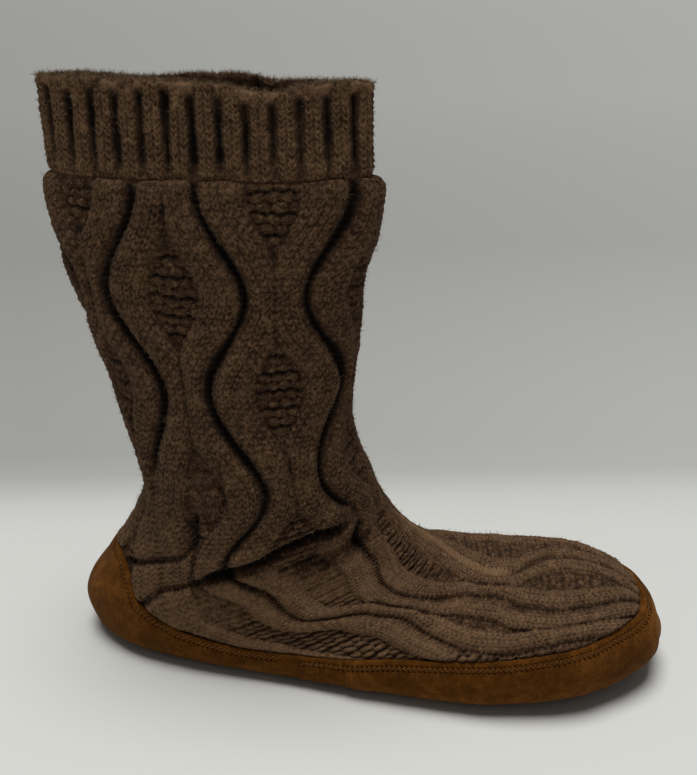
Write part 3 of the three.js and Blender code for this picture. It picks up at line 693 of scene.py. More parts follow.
def add_node(tree, kind, settings=None, **links):
    """Adds a node. settings names its properties, its sockets' values or its colour stops, and
    links names the socket that feeds each of its inputs."""
    node = tree.nodes.new(kind)
    for key, value in (settings or {}).items():
        if key == "stops":
            elements = node.color_ramp.elements
            while len(elements) < len(value):
                elements.new(0.5)
            for element, (position, colour) in zip(elements, value):
                element.position = position
            for element, (position, colour) in zip(elements, value):
                element.color = linear(colour) if isinstance(colour, str) else colour
        elif key in node.inputs:
            node.inputs[key].default_value = value
        else:
            setattr(node, key, value)
    for key, source in links.items():
        index = int(key[1:]) if key[0] == "i" and key[1:].isdigit() else key.replace("_", " ")
        tree.links.new(source, node.inputs[index])
    return node


def new_material(name, settings):
    """A material, its node tree and its shader, which is given its settings"""
    material = bpy.data.materials.new(name)
    material.use_nodes = True
    shader = material.node_tree.nodes["Principled BSDF"]
    for key, value in settings.items():
        shader.inputs[key].default_value = value
    return material, material.node_tree, shader


def surface(tree, shader, colour, height, strength, distance):
    """Feeds the shader its colour, and a bump as high as distance, in millimetres"""
    bump = add_node(tree, "ShaderNodeBump", {"Strength": strength, "Distance": distance * MM},
                    Height=height)
    tree.links.new(bump.outputs["Normal"], shader.inputs["Normal"])
    tree.links.new(colour, shader.inputs["Base Color"])


def lumps_of(size, detail=3.0, roughness=0.6, distortion=0.0):
    """The settings of noise whose soft lumps are about as wide as size, in millimetres"""
    return {"Scale": 1 / (size * 2 * MM), "Detail": detail, "Roughness": roughness,
            "Distortion": distortion}


# Heathered wool, carded from dark brown and oat fleece, knitted and lightly felted. The eye
# sees two tones mixed fibre by fibre; a painted highlight makes what stands proud pale, and painted
# shade turns near black where the yarn turns down between the ropes. Fibres are drawn 0.4 mm wide so that
# they show.
WOOL_FIBRE = 0.4
WOOL_TUFT = 1.5
WOOL_PATCH = 14.0
TUFTINESS = 0.4


def wool_material(name, dark, mid, pale, painted_shade_tone):
    material, tree, shader = new_material(name, {
        "Roughness": 0.95, "Specular IOR Level": 0.15,
        "Sheen Weight": 0.06, "Sheen Roughness": 0.6, "Sheen Tint": linear("#b59a82"),
    })
    place = add_node(tree, "ShaderNodeTexCoord").outputs["Object"]
    shade = add_node(tree, "ShaderNodeAttribute", {"attribute_name": "shade"}).outputs["Fac"]
    layers = [lumps_of(WOOL_FIBRE, 3.0, 0.7, 1.2), lumps_of(WOOL_TUFT, 3.0, 0.6, 0.8),
              lumps_of(WOOL_PATCH, 2.0, 0.5)]
    fibre, tuft, patch = [add_node(tree, "ShaderNodeTexNoise", lumps, Vector=place).outputs["Fac"]
                          for lumps in layers]
    blend = add_node(tree, "ShaderNodeMix", {"data_type": "FLOAT", "Factor": TUFTINESS},
                     i2=fibre, i3=tuft)
    heather = add_node(tree, "ShaderNodeValToRGB", {
        "stops": [(0.36, dark), (0.5, mid), (0.66, pale)],
    }, Fac=blend.outputs[0])
    cloud = add_node(tree, "ShaderNodeValToRGB", {
        "stops": [(0.3, "#e9e9ea"), (0.7, "#ffffff")],
    }, Fac=patch)
    body = add_node(tree, "ShaderNodeMix", {
        "data_type": "RGBA", "blend_type": "MULTIPLY", "Factor": 1.0,
    }, i6=heather.outputs["Color"], i7=cloud.outputs["Color"])
    colour = body.outputs[2]
    # Painted shade mixes in the near black tone as the shade rises from 0.08 to 0.9, and painted
    # highlight mixes in the pale tone as it falls from 0 to -1
    for first, last, tone in ((0.08, 0.9, painted_shade_tone), (0.0, -1.0, pale)):
        part = add_node(tree, "ShaderNodeMapRange", {"From Min": first, "From Max": last}, Value=shade)
        mixed = add_node(tree, "ShaderNodeMix", {"data_type": "RGBA"},
                         Factor=part.outputs["Result"], i6=colour)
        mixed.inputs[7].default_value = linear(tone)
        colour = mixed.outputs[2]
    surface(tree, shader, colour, blend.outputs[0], 0.9, 0.8)
    return material


felted_wool = wool_material("felted_wool", "#24170d", "#442f1e", "#88694c", "#0e0705")
loose_wool = wool_material("loose_wool_fibre", "#4c3a25", "#7a6248", "#b59d7f", "#2a1d14")


def knit_piece(name, around, along, thin):
    """Part of the knit over a grid of places. The inner skin has every thin-th of them."""
    depth, shade = knit_relief(around, along)
    edge = np.clip(1 - (along - LEG_TOP) * SPINE / ROLL_RADIUS, 0, 1)
    roll = ROLL_RADIUS * (1 - np.sqrt(1 - edge ** 2))
    outer = on_form(around, along, depth + roll)
    outer[..., 2] += TOP_WAVE * near_top(along, 0.04) * speckle(outer * PLAN, 17.0, 61)
    around, along = around[::thin, ::thin], along[::thin, ::thin]
    inner = on_form(around, along, hollow_depth(along) + crease_depth(around, along))
    mesh = wall_mesh(outer, inner, shade)
    finish_piece(mesh_data(name, mesh), felted_wool, "upper_knit")


LEG_JOIN = 0.29
FOOT_JOIN = 0.49
THIN = 8
LEG_COLUMNS = 80 * THIN
LEG_STEPS = 17 * THIN
around_leg = np.linspace(0, 1, LEG_COLUMNS + 1)
roll_steps = ROLL_RADIUS * (1 - np.cos(np.linspace(0, np.pi / 2, THIN + 1)))
calf_rows = np.concatenate([
    LEG_TOP + share(roll_steps),
    np.linspace(LEG_TOP + share(ROLL_RADIUS), LEG_JOIN, LEG_STEPS - THIN + 1)[1:],
])
ankle_rows = np.linspace(LEG_JOIN, FOOT_JOIN, LEG_STEPS + 1)
knit_piece("knit_calf", *np.meshgrid(around_leg, calf_rows), THIN)
knit_piece("knit_ankle", *np.meshgrid(around_leg, ankle_rows), THIN)

# The foot's grid is fine down to a little below the suede's edge, and its last columns
# reach on down to the footbed
FOOT_COLUMNS = 36 * THIN
FOOT_STEPS = 37 * THIN
UNDER_EDGE = -4.5
toe_end = crossing_along(over_seam, UNDER_EDGE, 0.0, 0.9, 1.0)
foot_rows = np.linspace(FOOT_JOIN, toe_end, FOOT_STEPS + 1)
fine_outer = crossing(over_seam, UNDER_EDGE, foot_rows, 1)
fine_inner = crossing(over_seam, UNDER_EDGE, foot_rows, -1)
low_outer = np.maximum(crossing(over_tread, FOOTBED_TOP + GAP, foot_rows, 1), fine_outer)
low_inner = np.maximum(crossing(over_tread, FOOTBED_TOP + GAP, foot_rows, -1), fine_inner)
fine_share = np.linspace(-1, 1, FOOT_COLUMNS + 1)
flank_share = np.linspace(0, 1, THIN + 1)
foot_around = np.concatenate([
    -mix(low_inner[:, None], fine_inner[:, None], flank_share)[:, :-1],
    fine_share * np.where(fine_share < 0, fine_inner[:, None], fine_outer[:, None]),
    mix(fine_outer[:, None], low_outer[:, None], flank_share)[:, 1:],
], axis=1)
foot_along = np.broadcast_to(foot_rows[:, None], foot_around.shape)
knit_piece("knit_foot", foot_around, foot_along, THIN)


# The cuff: a tube of the same wool, ribbed with 28 ribs. Its foot is sewn inside the rolled
# top of the leg, and its lip is a soft felted band that dips and climbs.
RIB_COUNT = 28
RIB_DEEP = 2.7
RIB_FLAT = 0.6
RIB_ROUND = 3.8
RIB_STITCH = 2.7
RIB_LEAN = 1.4
RIB_SHADE = 1.05
RIB_WANDER = [(0.4, 8.0, 21), (0.35, 3.0, 28)]
RIB_FELT = [(0.24, 5.0, 22), (0.2, 2.6, 26), (0.14, 1.5, 23)]
LIP_FELT = [(0.8, 4.0, 29), (0.6, 2.0, 30)]
CUFF_DEPTH = 4.2
INSIDE_SHADE = 0.25
CUFF_TUCK = 14.0
TUCKED_WALL = 2.4
CUFF_COLUMNS = RIB_COUNT * 24
LIP_RADIUS = 2.1
LIP_WAVE = 0.45
TAPER = 3.0

# Columns: place around, how far the lip stands above its mean height, in millimetres
LIP_SLOUCH = [
    (0.0, -2.0), (0.05, -0.8), (0.1, -2.3), (0.13, -4.0), (0.155, -4.4), (0.2, -2.1), (0.25, -0.5),
    (0.3, 0.0), (0.35, 0.6), (0.4, 1.1), (0.45, 1.0), (0.5, 0.7), (0.55, 1.4), (0.6, 0.2),
    (0.65, -0.9), (0.75, 0.0), (0.8, -0.3), (0.85, -2.4), (0.95, -2.3), (1.0, -2.0),
]
lip_curve = smooth_curve(*zip(*LIP_SLOUCH))
cuff_foot = LEG_TOP + share(CUFF_TUCK)


def cuff_relief(around, along):
    """Depth of the ribbed face under the form, and its painted shade and highlight"""
    points = on_form(around, along)
    pitch = girth_at(along) / RIB_COUNT
    across = (around * RIB_COUNT) % 1 * pitch
    from_valley = np.minimum(across, pitch - across)
    course = along * SPINE / RIB_STITCH
    edge = from_valley + unevenness(points, RIB_WANDER)
    edge = np.maximum(edge + 0.12 * np.cos(2 * np.pi * course) * (1 - ramp(edge, 1.0, 3.0)), 0)
    rise = rounded(edge - RIB_FLAT, RIB_ROUND)
    from_lip = along * SPINE + 2.2 * speckle(points, 9.0, 24)
    near_lip = 1 - ramp(from_lip, 2.0, 6.0)
    near_foot = ramp(from_lip, CUFF_HEIGHT - 10, CUFF_HEIGHT - 1)
    strength = (1 - near_lip) * (1 - 0.5 * near_foot) * (1 + 0.22 * speckle(points, 13.0, 25))
    wale = (across - pitch / 2) / (pitch * 0.34)
    bumps = stitch_bumps(wale, course, points, RIB_LEAN) * (1 - 0.3 * near_lip) * ramp(edge, 0.8, 2.6)
    felt = unevenness(points, RIB_FELT) + near_lip * unevenness(points, LIP_FELT)
    depth = RIB_DEEP * strength * (1 - rise) - bumps - felt
    # Painted shade in the rib valleys and between stitches; painted highlight on the stitches' tops and
    # the proud felt; the lip is lighter
    shade = RIB_SHADE * strength * (1 - ramp(edge, 0.6, 2.9)) + stitch_shade(bumps)
    shade = shade - FELT_PAINTED_SHADING * felt - near_lip * (0.06 + 0.22 * felt)
    return depth, np.clip(shade, -0.3, 1)


def lip_wave(points, around, along):
    """The cuff's lip dips and climbs a little, and the knit below it less and less"""
    fine = LIP_WAVE * speckle(points * PLAN, 5.5, 27) * (1 - ramp(along * SPINE, 0, 5.0))
    return lip_curve(around % 1) * (1 - ramp(along * SPINE, 0, CUFF_HEIGHT * 0.8)) + fine


cuff_around = np.linspace(0, 1, CUFF_COLUMNS + 1)[None, :]
lip_turn = np.linspace(0, np.pi, 9)[1:-1]
outer_rows = np.concatenate([
    np.linspace(cuff_foot, LEG_TOP, 5)[:-1],
    np.linspace(LEG_TOP, share(LIP_RADIUS), 74),
])
lip_rows = share(LIP_RADIUS * (1 - np.sin(lip_turn)))
inner_rows = np.concatenate([
    np.linspace(share(LIP_RADIUS), LEG_TOP, 13),
    np.linspace(LEG_TOP, cuff_foot, 4)[1:],
])
cuff_rows = np.concatenate([outer_rows, lip_rows, inner_rows])[:, None]
across_wall = np.concatenate([
    np.zeros(len(outer_rows)), (1 - np.cos(lip_turn)) / 2, np.ones(len(inner_rows)),
])[:, None]
cuff_around, cuff_along = np.broadcast_arrays(cuff_around, cuff_rows)
cuff_depth, cuff_shade = cuff_relief(cuff_around, cuff_along)
tucked = ramp(cuff_along, LEG_TOP - share(TAPER), LEG_TOP)
cuff_face = mix(cuff_depth, hollow_depth(cuff_along) + GAP, tucked)
rib_inside = 0.6 * np.cos(2 * np.pi * cuff_around * RIB_COUNT) * (1 - tucked)
tucked_depth = hollow_depth(cuff_along) + GAP + TUCKED_WALL
cuff_back = CUFF_DEPTH - rib_inside + tucked * (tucked_depth - CUFF_DEPTH)
cuff_points = on_form(cuff_around, cuff_along, mix(cuff_face, cuff_back, across_wall))
cuff_points[..., 2] += lip_wave(cuff_points, cuff_around, cuff_along)
# Painted shade darkens the cuff's inside
cuff_shade = np.where(across_wall > 0.6, INSIDE_SHADE, cuff_shade)
cuff_mesh = bmesh.new()
grid_skin(cuff_mesh, cuff_points, shade=cuff_shade)
bmesh.ops.bridge_loops(cuff_mesh, edges=[edge for edge in cuff_mesh.edges if edge.is_boundary])
bmesh.ops.reverse_faces(cuff_mesh, faces=cuff_mesh.faces)
ribbed_wool = wool_material("ribbed_wool", "#2a1c11", "#523b28", "#9a7858", "#0e0705")
finish_piece(mesh_data("cuff_rib_knit", cuff_mesh), ribbed_wool, "cuff_rib")


# The suede cup: two pieces of split cowhide wrapped up from under the foot. The front one
# laps over the rear one below the ankle, and both are sewn down through the knit's hem.
SUEDE_JOINT = 137.0
SUEDE_LAP = 12.0
LAP_STEP = 0.45
SUEDE_COLUMNS = 150
CAP_STEPS = 6
TOE_FULLNESS = 1.15
TOE_DOME = 1.0
LINING_DOME = 0.4
SUEDE_UNEVEN = [(0.35, 16.0, 31), (0.14, 5.0, 32)]


def joint_along(x, around):
    """Where the line at each place around reaches a place along the length"""
    return turning_place(np.full_like(around, 0.55), np.full_like(around, 0.85),
                         lambda along: read_table(form, around, along)[..., 0] < x, halvings=20)


def suede_places(rows, start, end):
    """A grid over the cup from its outer edge, under the foot, to its inner edge"""
    across = np.linspace(0, 1, SUEDE_COLUMNS + 1)[None, :]
    around = np.broadcast_to(mix(0.2, 0.8, across), (len(rows), SUEDE_COLUMNS + 1)).copy()
    for _ in range(4):
        first = start if np.isscalar(start) else joint_along(start[0], around)
        last = end if np.isscalar(end) else joint_along(end[0], around)
        along = np.broadcast_to(mix(first, last, rows[:, None]), around.shape)
        left = crossing(over_seam, 0.0, along, 1)
        right = 1 - crossing(over_seam, 0.0, along, -1)
        around = mix(left, right, across)
    return around, along


def suede_depth(around, along):
    """The suede's face: its cut edge is turned in, and the seam draws a shallow channel"""
    points = on_form(around, along)
    over = read_table(over_seam, around, along)
    clear = ramp(points[..., 2] - tread_height(points[..., 0]), 0, 6)
    turned_in = 0.6 * np.exp(np.minimum(over, 0) / 0.7)
    channel = 0.35 * np.exp(-(((over + 3.5) / 1.5) ** 2))
    return turned_in + channel - unevenness(points, SUEDE_UNEVEN) * clear


def front_depth(around, along):
    from_joint = on_form(around, along)[..., 0] - SUEDE_JOINT
    lap = 1 - ramp(from_joint, SUEDE_LAP - 2, SUEDE_LAP + 3)
    turned_in = 0.5 * np.exp(-np.maximum(from_joint, 0) / 0.8)
    full = TOE_FULLNESS * ramp(along, 0.93, 0.978) * (1 - ramp(along, 0.984, 1.0))
    return suede_depth(around, along) - LAP_STEP * lap + turned_in - full, lap


def rear_depth(around, along):
    lap = ramp(on_form(around, along)[..., 0], SUEDE_JOINT - 1.2, SUEDE_JOINT + 0.4)
    return mix(suede_depth(around, along), (SUEDE_THICK + GAP) / 2, lap)


def capped(skin, bulge):
    """A skin with rows added that close its last ring to a shallow dome"""
    centre = skin[-1].mean(axis=0)
    reach = np.linspace(1, 0, CAP_STEPS + 1)[1:, None, None]
    dome = centre + (skin[-1] - centre) * reach + [bulge, 0, 0] * (1 - reach ** 2)
    return np.concatenate([skin, dome])


def over_floor(points):
    """Keeps a skin from sinking under the tread"""
    points[..., 2] = np.maximum(points[..., 2], 0.98 * tread_height(points[..., 0]))
    return points


# Split cowhide suede, tanned a golden brown and buffed to a short nap. The eye sees it go pale
# and dark in soft clouds where the nap has been brushed, with a fine grain over all.
SUEDE_NAP = 0.45
SUEDE_CLOUD = 8.0
SUEDE_SCUFF = 2.4
suede, tree, shader = new_material("buffed_suede", {
    "Roughness": 0.9, "Specular IOR Level": 0.08,
    "Sheen Weight": 0.13, "Sheen Roughness": 0.5, "Sheen Tint": linear("#c8935a"),
})
place = add_node(tree, "ShaderNodeTexCoord").outputs["Object"]
layers = [lumps_of(SUEDE_NAP, 4.0, 0.7), lumps_of(SUEDE_CLOUD, 4.0, 0.6, 0.4),
          lumps_of(SUEDE_SCUFF, 3.0, 0.6, 0.6)]
nap, cloud, scuff = [add_node(tree, "ShaderNodeTexNoise", lumps, Vector=place).outputs["Fac"]
                     for lumps in layers]
brushed = add_node(tree, "ShaderNodeMix", {"data_type": "FLOAT", "Factor": 0.55}, i2=nap, i3=cloud)
brushed = add_node(tree, "ShaderNodeMix", {"data_type": "FLOAT", "Factor": 0.3},
                   i2=brushed.outputs[0], i3=scuff)
tone = add_node(tree, "ShaderNodeValToRGB", {
    "stops": [(0.37, "#3a2003"), (0.5, "#553007"), (0.64, "#764816")],
}, Fac=brushed.outputs[0])
surface(tree, shader, tone.outputs["Color"], nap, 0.6, 0.3)

heel_start = crossing_along(over_seam, 0.0, 0.5, 0.42, 0.5)
rear_rows = np.linspace(0, 1, 101) ** 1.7
rear_around, rear_along = suede_places(rear_rows, heel_start, (SUEDE_JOINT + SUEDE_LAP - GAP,))
rear_skin = over_floor(on_form(rear_around, rear_along, rear_depth(rear_around, rear_along)))
rear_back = on_form(rear_around[::2, ::2], rear_along[::2, ::2], SUEDE_THICK)
rear_mesh = wall_mesh(rear_skin, rear_back)
finish_piece(mesh_data("suede_heel", rear_mesh), suede, "sole_heel")

front_rows = np.concatenate([np.linspace(0, 0.9, 91), 1 - 0.1 * np.linspace(1, 0, 20)[1:-1] ** 1.7])
front_around, front_along = suede_places(front_rows, (SUEDE_JOINT,), 1.0)
front_face, front_lap = front_depth(front_around, front_along)
front_skin = over_floor(on_form(front_around, front_along, front_face))
front_back = mix(SUEDE_THICK, (SUEDE_THICK - GAP) / 2, front_lap)[::2, ::2]
front_lining = on_form(front_around[::2, ::2], front_along[::2, ::2], front_back)
front_mesh = wall_mesh(capped(front_skin, TOE_DOME), capped(front_lining, LINING_DOME))
finish_piece(mesh_data("suede_forefoot", front_mesh), suede, "sole_forefoot")


# The seams: tan polyester thread that zigzags between two rows of needle holes round the
# front piece, crosses the heel's edge in short bars, and sews the lap down in two rows.
THREAD = 0.24
THREAD_PLY = 0.8
STITCH_DIP = 0.45
STITCH_PROUD = 0.22
HOLE = 0.5
HOLE_DIP = 0.3
HOLE_PROUD = 0.07
STITCH_PITCH = 1.15
BAR_PITCH = 2.3
LAP_ROWS = (142.0, 144.7)
LAP_PLACES = 6
ZIGZAG = (-2.3, -4.7)
BARS = (-0.8, -4.0)


def seam_line(level, start, tip, at_heel):
    """A line that runs level with the suede's edge, from the outer side round to the inner"""
    along = tip + (start - tip) * np.linspace(1, 0, 700) ** 2
    outer = crossing(over_seam, level, along, 1)
    inner = crossing(over_seam, level, along, -1)
    inner = 1 - inner if at_heel else -inner
    return np.concatenate([outer, inner[::-1]]), np.concatenate([along, along[::-1]])


def travelled(line):
    """The distance along a line on the form, at each of its points"""
    steps = np.linalg.norm(np.diff(on_form(*line), axis=0), axis=1)
    return np.concatenate([[0], np.cumsum(steps)])


def evenly_on(line, count):
    along_line = travelled(line)
    at = np.linspace(0, along_line[-1], count)
    return np.stack([np.interp(at, along_line, places) for places in line], axis=1)


def stitches(starts, ends, face):
    """Paths of short stitches that dip into the suede at both ends"""
    share_along = np.array([0, 0.25, 0.75, 1])[None, :, None]
    places = mix(starts[:, None], ends[:, None], share_along)
    depth = face(places[..., 0], places[..., 1]) + [STITCH_DIP, -STITCH_PROUD, -STITCH_PROUD, STITCH_DIP]
    return on_form(places[..., 0], places[..., 1], depth)


def holes(places, face):
    """Short upright pegs, painted in the dark shade of a hole, that stand just proud of the suede"""
    depth = face(places[:, 0], places[:, 1])[:, None] + [HOLE_DIP, -HOLE_PROUD]
    return on_form(places[:, :1], places[:, 1:], depth)


def front_face_at(around, along):
    return front_depth(around, along)[0]


OUTER_EDGE = np.array([0.2])
joint_top = joint_along(SUEDE_JOINT + 6.0, OUTER_EDGE)[0]
front_tips = [crossing_along(over_seam, level, 0.0, 0.9, 1.0) for level in ZIGZAG]
front_lines = [seam_line(level, joint_top, tip, False) for level, tip in zip(ZIGZAG, front_tips)]
count = int(travelled(front_lines[1])[-1] / STITCH_PITCH)
upper_holes, lower_holes = [evenly_on(line, count) for line in front_lines]
zigzag = np.where((np.arange(count) % 2 == 0)[:, None], upper_holes, lower_holes)
front_stitches = stitches(zigzag[:-1], zigzag[1:], front_face_at)

joint_end = joint_along(SUEDE_JOINT - 3.0, OUTER_EDGE)[0]
heel_tips = [crossing_along(over_seam, level, 0.5, 0.42, 0.5) for level in BARS]
heel_lines = [seam_line(level, joint_end, tip, True) for level, tip in zip(BARS, heel_tips)]
count = int(travelled(heel_lines[1])[-1] / BAR_PITCH)
bar_tops, bar_feet = [evenly_on(line, count) for line in heel_lines]
heel_stitches = stitches(bar_tops, bar_feet, rear_depth)

lap_stitches = []
for x in LAP_ROWS:
    for side in (1, -1):
        around = side * np.linspace(0.15, 0.36, 400)
        along = joint_along(x, around)
        over = read_table(over_seam, around, along)
        on_side = (over < -6.0) & (read_table(over_tread, around, along) > 3.0)
        row = evenly_on((around[on_side], along[on_side]), LAP_PLACES)
        starts, ends = mix(row[:-1], row[1:], 0.12), mix(row[:-1], row[1:], 0.88)
        lap_stitches.append(stitches(starts, ends, front_face_at))

thread, tree, shader = new_material("tan_polyester_thread", {
    "Roughness": 0.8, "Specular IOR Level": 0.15,
})
place = add_node(tree, "ShaderNodeTexCoord").outputs["Object"]
ply = add_node(tree, "ShaderNodeTexNoise", lumps_of(THREAD_PLY), Vector=place)
tone = add_node(tree, "ShaderNodeValToRGB", {
    "stops": [(0.35, "#593714"), (0.65, "#734a1f")],
}, Fac=ply.outputs["Fac"])
tree.links.new(tone.outputs["Color"], shader.inputs["Base Color"])
pierced = new_material("needle_hole_painted_shade", {
    "Base Color": linear("#2b1807"), "Roughness": 1.0, "Specular IOR Level": 0.0,
})[0]
sewn = np.concatenate([front_stitches, heel_stitches, *lap_stitches])
strands("seam_thread", sewn, THREAD * np.array([0.8, 1, 1, 0.8]), 5, thread)
pierced_holes = np.concatenate([holes(zigzag, front_face_at), holes(bar_feet, rear_depth)])
strands("needle_holes", pierced_holes, [HOLE, HOLE], 6, pierced)


# The padded footbed: a cut sheet of foam with a pale fleece face, lying edge to edge in the
# cup under the knit's hem. It shows only from above, down the leg.
BED_ROWS = 80
BED_COLUMNS = 40
BED_CROWN = 1.2
BED_PILE = 0.3
BED_END = 0.985
bed_start = crossing_along(over_tread, FOOTBED_TOP, 0.5, 0.45, 0.57)
bed_length = np.linspace(0, 1, BED_ROWS + 1)
bed_rows = mix(bed_start, BED_END, 0.5 - 0.5 * np.cos(np.pi * bed_length))
bed_share = np.linspace(0, 1, BED_COLUMNS + 1)[None, :]
bed_left = crossing(over_tread, FOOTBED_TOP, bed_rows, 1)[:, None]
bed_right = 1 - crossing(over_tread, FOOTBED_TOP, bed_rows, -1)[:, None]
bed_around = mix(bed_left, bed_right, bed_share)
bed_along = np.broadcast_to(bed_rows[:, None], bed_around.shape)
bed_under = on_form(bed_around, bed_along, SUEDE_THICK + GAP + 0.1)
bed_top = mix(bed_under[:, :1], bed_under[:, -1:], bed_share[..., None])
bed_hump = (1 - (2 * bed_share - 1) ** 4) * np.sin(np.pi * bed_length)[:, None] ** 0.5
bed_top[..., 2] += BED_CROWN * bed_hump
bed_top[..., 2] += BED_PILE * bed_hump * speckle(bed_top, 4.0, 41)
bed_mesh = bmesh.new()
grid_skin(bed_mesh, bed_under)
grid_skin(bed_mesh, bed_top, turned=True)
bmesh.ops.remove_doubles(bed_mesh, verts=bed_mesh.verts, dist=2 * WELD)
bmesh.ops.holes_fill(bed_mesh, edges=[edge for edge in bed_mesh.edges if edge.is_boundary])

# Polyester fleece in an oat colour: short curled pile that scatters the light, with a
# mottle as coarse as the curls.
FLEECE_CURL = 2.5
fleece, tree, shader = new_material("oat_fleece", {"Roughness": 0.95, "Sheen Weight": 0.1})
place = add_node(tree, "ShaderNodeTexCoord").outputs["Object"]
curl = add_node(tree, "ShaderNodeTexNoise", lumps_of(FLEECE_CURL, 5.0, 0.7, 1.5), Vector=place)
tone = add_node(tree, "ShaderNodeValToRGB", {
    "stops": [(0.35, "#7d705a"), (0.65, "#b3a68e")],
}, Fac=curl.outputs["Fac"])
surface(tree, shader, tone.outputs["Color"], curl.outputs["Fac"], 0.9, 1.2)
insole = finish_piece(mesh_data("fleece_footbed", bed_mesh), fleece, "insole")


# Loose fibres: the felted wool's halo of short curled hairs, lying over the ropes with
# their tips lifted. They stand out against the pale wall along every edge of the boot.
FIBRE_RADII = [0.1, 0.03]
FIBRE_LENGTHS = (1.2, 3.0)
FIBRE_LIFTS = (0.2, 0.95)
LIP_FIBRES = 4200
CLEAR_OF_SEAM = 1.0
DEEPEST_SHADE = 0.35

# Columns: part of the boot, number of fibres, their stretch around and along, relief, finish
FIBRE_AREAS = [
    ("leg", 14500, (0, 1), (LEG_TOP + share(1.5), FOOT_JOIN), knit_relief, "wool_knit"),
    ("foot", 5000, (-0.33, 0.33), (FOOT_JOIN, toe_end), knit_relief, "wool_knit"),
    ("cuff", 5500, (0, 1), (0, LEG_TOP - share(2.0)), cuff_relief, "wool_rib"),
]


def loose_fibres(name, around, along, depth, rise, finish):
    """Fibres that lean any way over the wool and lift their tips in the direction of rise"""
    root = on_form(around, along, depth + 0.3)
    if finish == "wool_rib":
        root[:, 2] += lip_wave(root, around, along)
    lean = chance.normal(size=root.shape)
    lean -= (lean * rise).sum(axis=1, keepdims=True) * rise
    lean /= np.linalg.norm(lean, axis=1, keepdims=True)
    length = chance.uniform(*FIBRE_LENGTHS, (len(root), 1))
    lift = chance.uniform(*FIBRE_LIFTS, (len(root), 1)) ** 1.3
    tip = root + length * (lean * np.sqrt(1 - lift ** 2) + rise * lift)
    strands(name, np.stack([root, tip], axis=1), FIBRE_RADII, 3, loose_wool)


chance = np.random.default_rng(7)
for part, count, reach, stretch, relief, finish in FIBRE_AREAS:
    around, along = chance.uniform(*reach, count), chance.uniform(*stretch, count)
    depth, shade = relief(around, along)
    clear = (read_table(over_seam, around, along) > CLEAR_OF_SEAM) & (shade < DEEPEST_SHADE)
    around, along, depth = around[clear], along[clear], depth[clear]
    rise = read_table(outward, around, along)
    loose_fibres("loose_fibres_" + part, around, along, depth, rise, finish)
around = chance.uniform(0, 1, LIP_FIBRES)
along = np.full(LIP_FIBRES, share(0.3))
depth = chance.uniform(0.3, 3.8, LIP_FIBRES)
loose_fibres("loose_fibres_lip", around, along, depth, np.array([0.0, 0.0, 1.0]), "wool_rib")


# The studio: a plain pale floor whose paper is painted with a fall of light to grey behind, like a wall,
# one broad soft light from almost straight above, and a weak even fill from all round
FLOOR_SIZE = 60.0
floor_mesh = bmesh.new()
bmesh.ops.create_grid(floor_mesh, x_segments=1, y_segments=1, size=FLOOR_SIZE / 2)
floor = bpy.data.objects.new("floor", mesh_data("floor", floor_mesh))
bpy.context.scene.collection.objects.link(floor)

CAMERA_TURN = math.radians(10.26)
# How far the camera stands before the boot, in metres, for the wall's painted fall of light
CAMERA_BACK = 0.392
PAPER_NEAR = -0.5
PAPER_FAR = 8.5
WALL_START = 0.12
WALL_END = 0.2
# Painted fall of light. Columns: metres behind the boot, grey value
PAINTED_LIGHT_TONES = [
    (-0.3, 0.71), (-0.06, 0.66), (0.12, 0.61), (0.17, 0.43), (0.28, 0.42), (0.7, 0.355), (2.0, 0.4),
    (8.0, 0.415),
]
paper, tree, shader = new_material("matt_backdrop_paper_with_painted_falloff", {"Roughness": 0.9, "Specular IOR Level": 0.1})
place = add_node(tree, "ShaderNodeTexCoord").outputs["Object"]
facing = add_node(tree, "ShaderNodeMapping", {"Rotation": (0, 0, -CAMERA_TURN)}, Vector=place)
split = add_node(tree, "ShaderNodeSeparateXYZ", {}, Vector=facing.outputs["Vector"])
away = add_node(tree, "ShaderNodeMapRange", {"From Min": PAPER_NEAR, "From Max": PAPER_FAR},
                Value=split.outputs["Y"])
painted_falloff = add_node(tree, "ShaderNodeValToRGB", {
    "stops": [((distance - PAPER_NEAR) / (PAPER_FAR - PAPER_NEAR), (grey, grey * 1.005, grey * 0.955, 1))
              for distance, grey in PAINTED_LIGHT_TONES],
}, Fac=away.outputs["Result"])

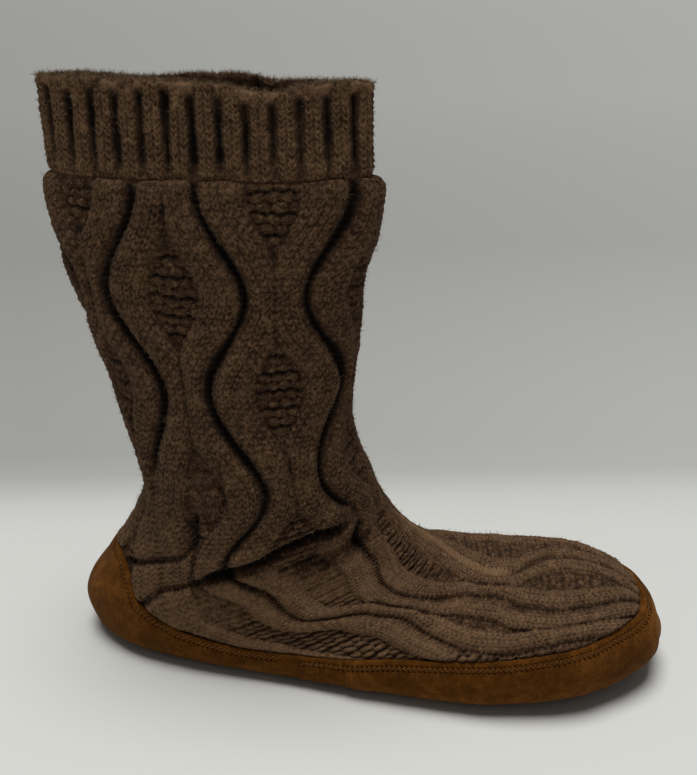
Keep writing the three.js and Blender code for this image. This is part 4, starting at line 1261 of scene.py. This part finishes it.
# Painted shade: the wall is a fifth darker at its left end
past_camera = add_node(tree, "ShaderNodeMath", {"operation": "ADD"}, i0=split.outputs["Y"])
past_camera.inputs[1].default_value = CAMERA_BACK
sideways = add_node(tree, "ShaderNodeMath", {"operation": "DIVIDE"},
                    i0=split.outputs["X"], i1=past_camera.outputs[0])
lit_side = add_node(tree, "ShaderNodeMapRange", {
    "From Min": -0.35, "From Max": 0.35, "To Min": 0.8, "To Max": 1.0,
}, Value=sideways.outputs[0])
on_wall = add_node(tree, "ShaderNodeMapRange", {"From Min": WALL_START, "From Max": WALL_END},
                   Value=split.outputs["Y"])
side_tone = add_node(tree, "ShaderNodeMix", {"data_type": "FLOAT"},
                     Factor=on_wall.outputs["Result"], i3=lit_side.outputs["Result"])
side_tone.inputs[2].default_value = 1.0
grey = add_node(tree, "ShaderNodeMix", {
    "data_type": "RGBA", "blend_type": "MULTIPLY", "Factor": 1.0,
}, i6=painted_falloff.outputs["Color"], i7=side_tone.outputs[0])
tree.links.new(grey.outputs[2], shader.inputs["Base Color"])
floor.data.materials.append(paper)

sun_data = bpy.data.lights.new("overhead_softbox", "SUN")
sun_data.angle = math.radians(32)
sun_data.energy = 2.8
sun = bpy.data.objects.new("overhead_softbox", sun_data)
bpy.context.scene.collection.objects.link(sun)
sun.rotation_euler = Vector((-0.04, 0.04, 1.0)).to_track_quat("Z", "Y").to_euler()

world = bpy.data.worlds.new("studio_fill")
bpy.context.scene.world = world
world.use_nodes = True
world.node_tree.nodes["Background"].inputs["Color"].default_value = (1, 1, 1, 1)
world.node_tree.nodes["Background"].inputs["Strength"].default_value = 0.13


# The camera: a little over half a metre off, on the outer side and turned slightly to the
# toe, looking down on the boot
CAMERA_PLACE = frame_shift + [203.1, -388.6, 304.7]
CAMERA_DOWN = math.radians(23.64)
CAMERA_ROLL = math.radians(-1.0)
IMAGE_HEIGHT = 775
FOCAL_PIXELS = 980
camera_data = bpy.data.cameras.new("camera")
camera_data.sensor_width = 36.0
camera_data.lens = FOCAL_PIXELS * camera_data.sensor_width / IMAGE_HEIGHT
camera_data.clip_start = 0.01
camera = bpy.data.objects.new("camera", camera_data)
bpy.context.scene.collection.objects.link(camera)
camera.matrix_world = (
    Matrix.Translation(CAMERA_PLACE * MM) @ Matrix.Rotation(CAMERA_TURN, 4, "Z")
    @ Matrix.Rotation(math.pi / 2 - CAMERA_DOWN, 4, "X") @ Matrix.Rotation(CAMERA_ROLL, 4, "Z")
)
bpy.context.scene.camera = camera
bpy.context.scene.view_settings.view_transform = "Standard"

bpy.context.view_layer.update()
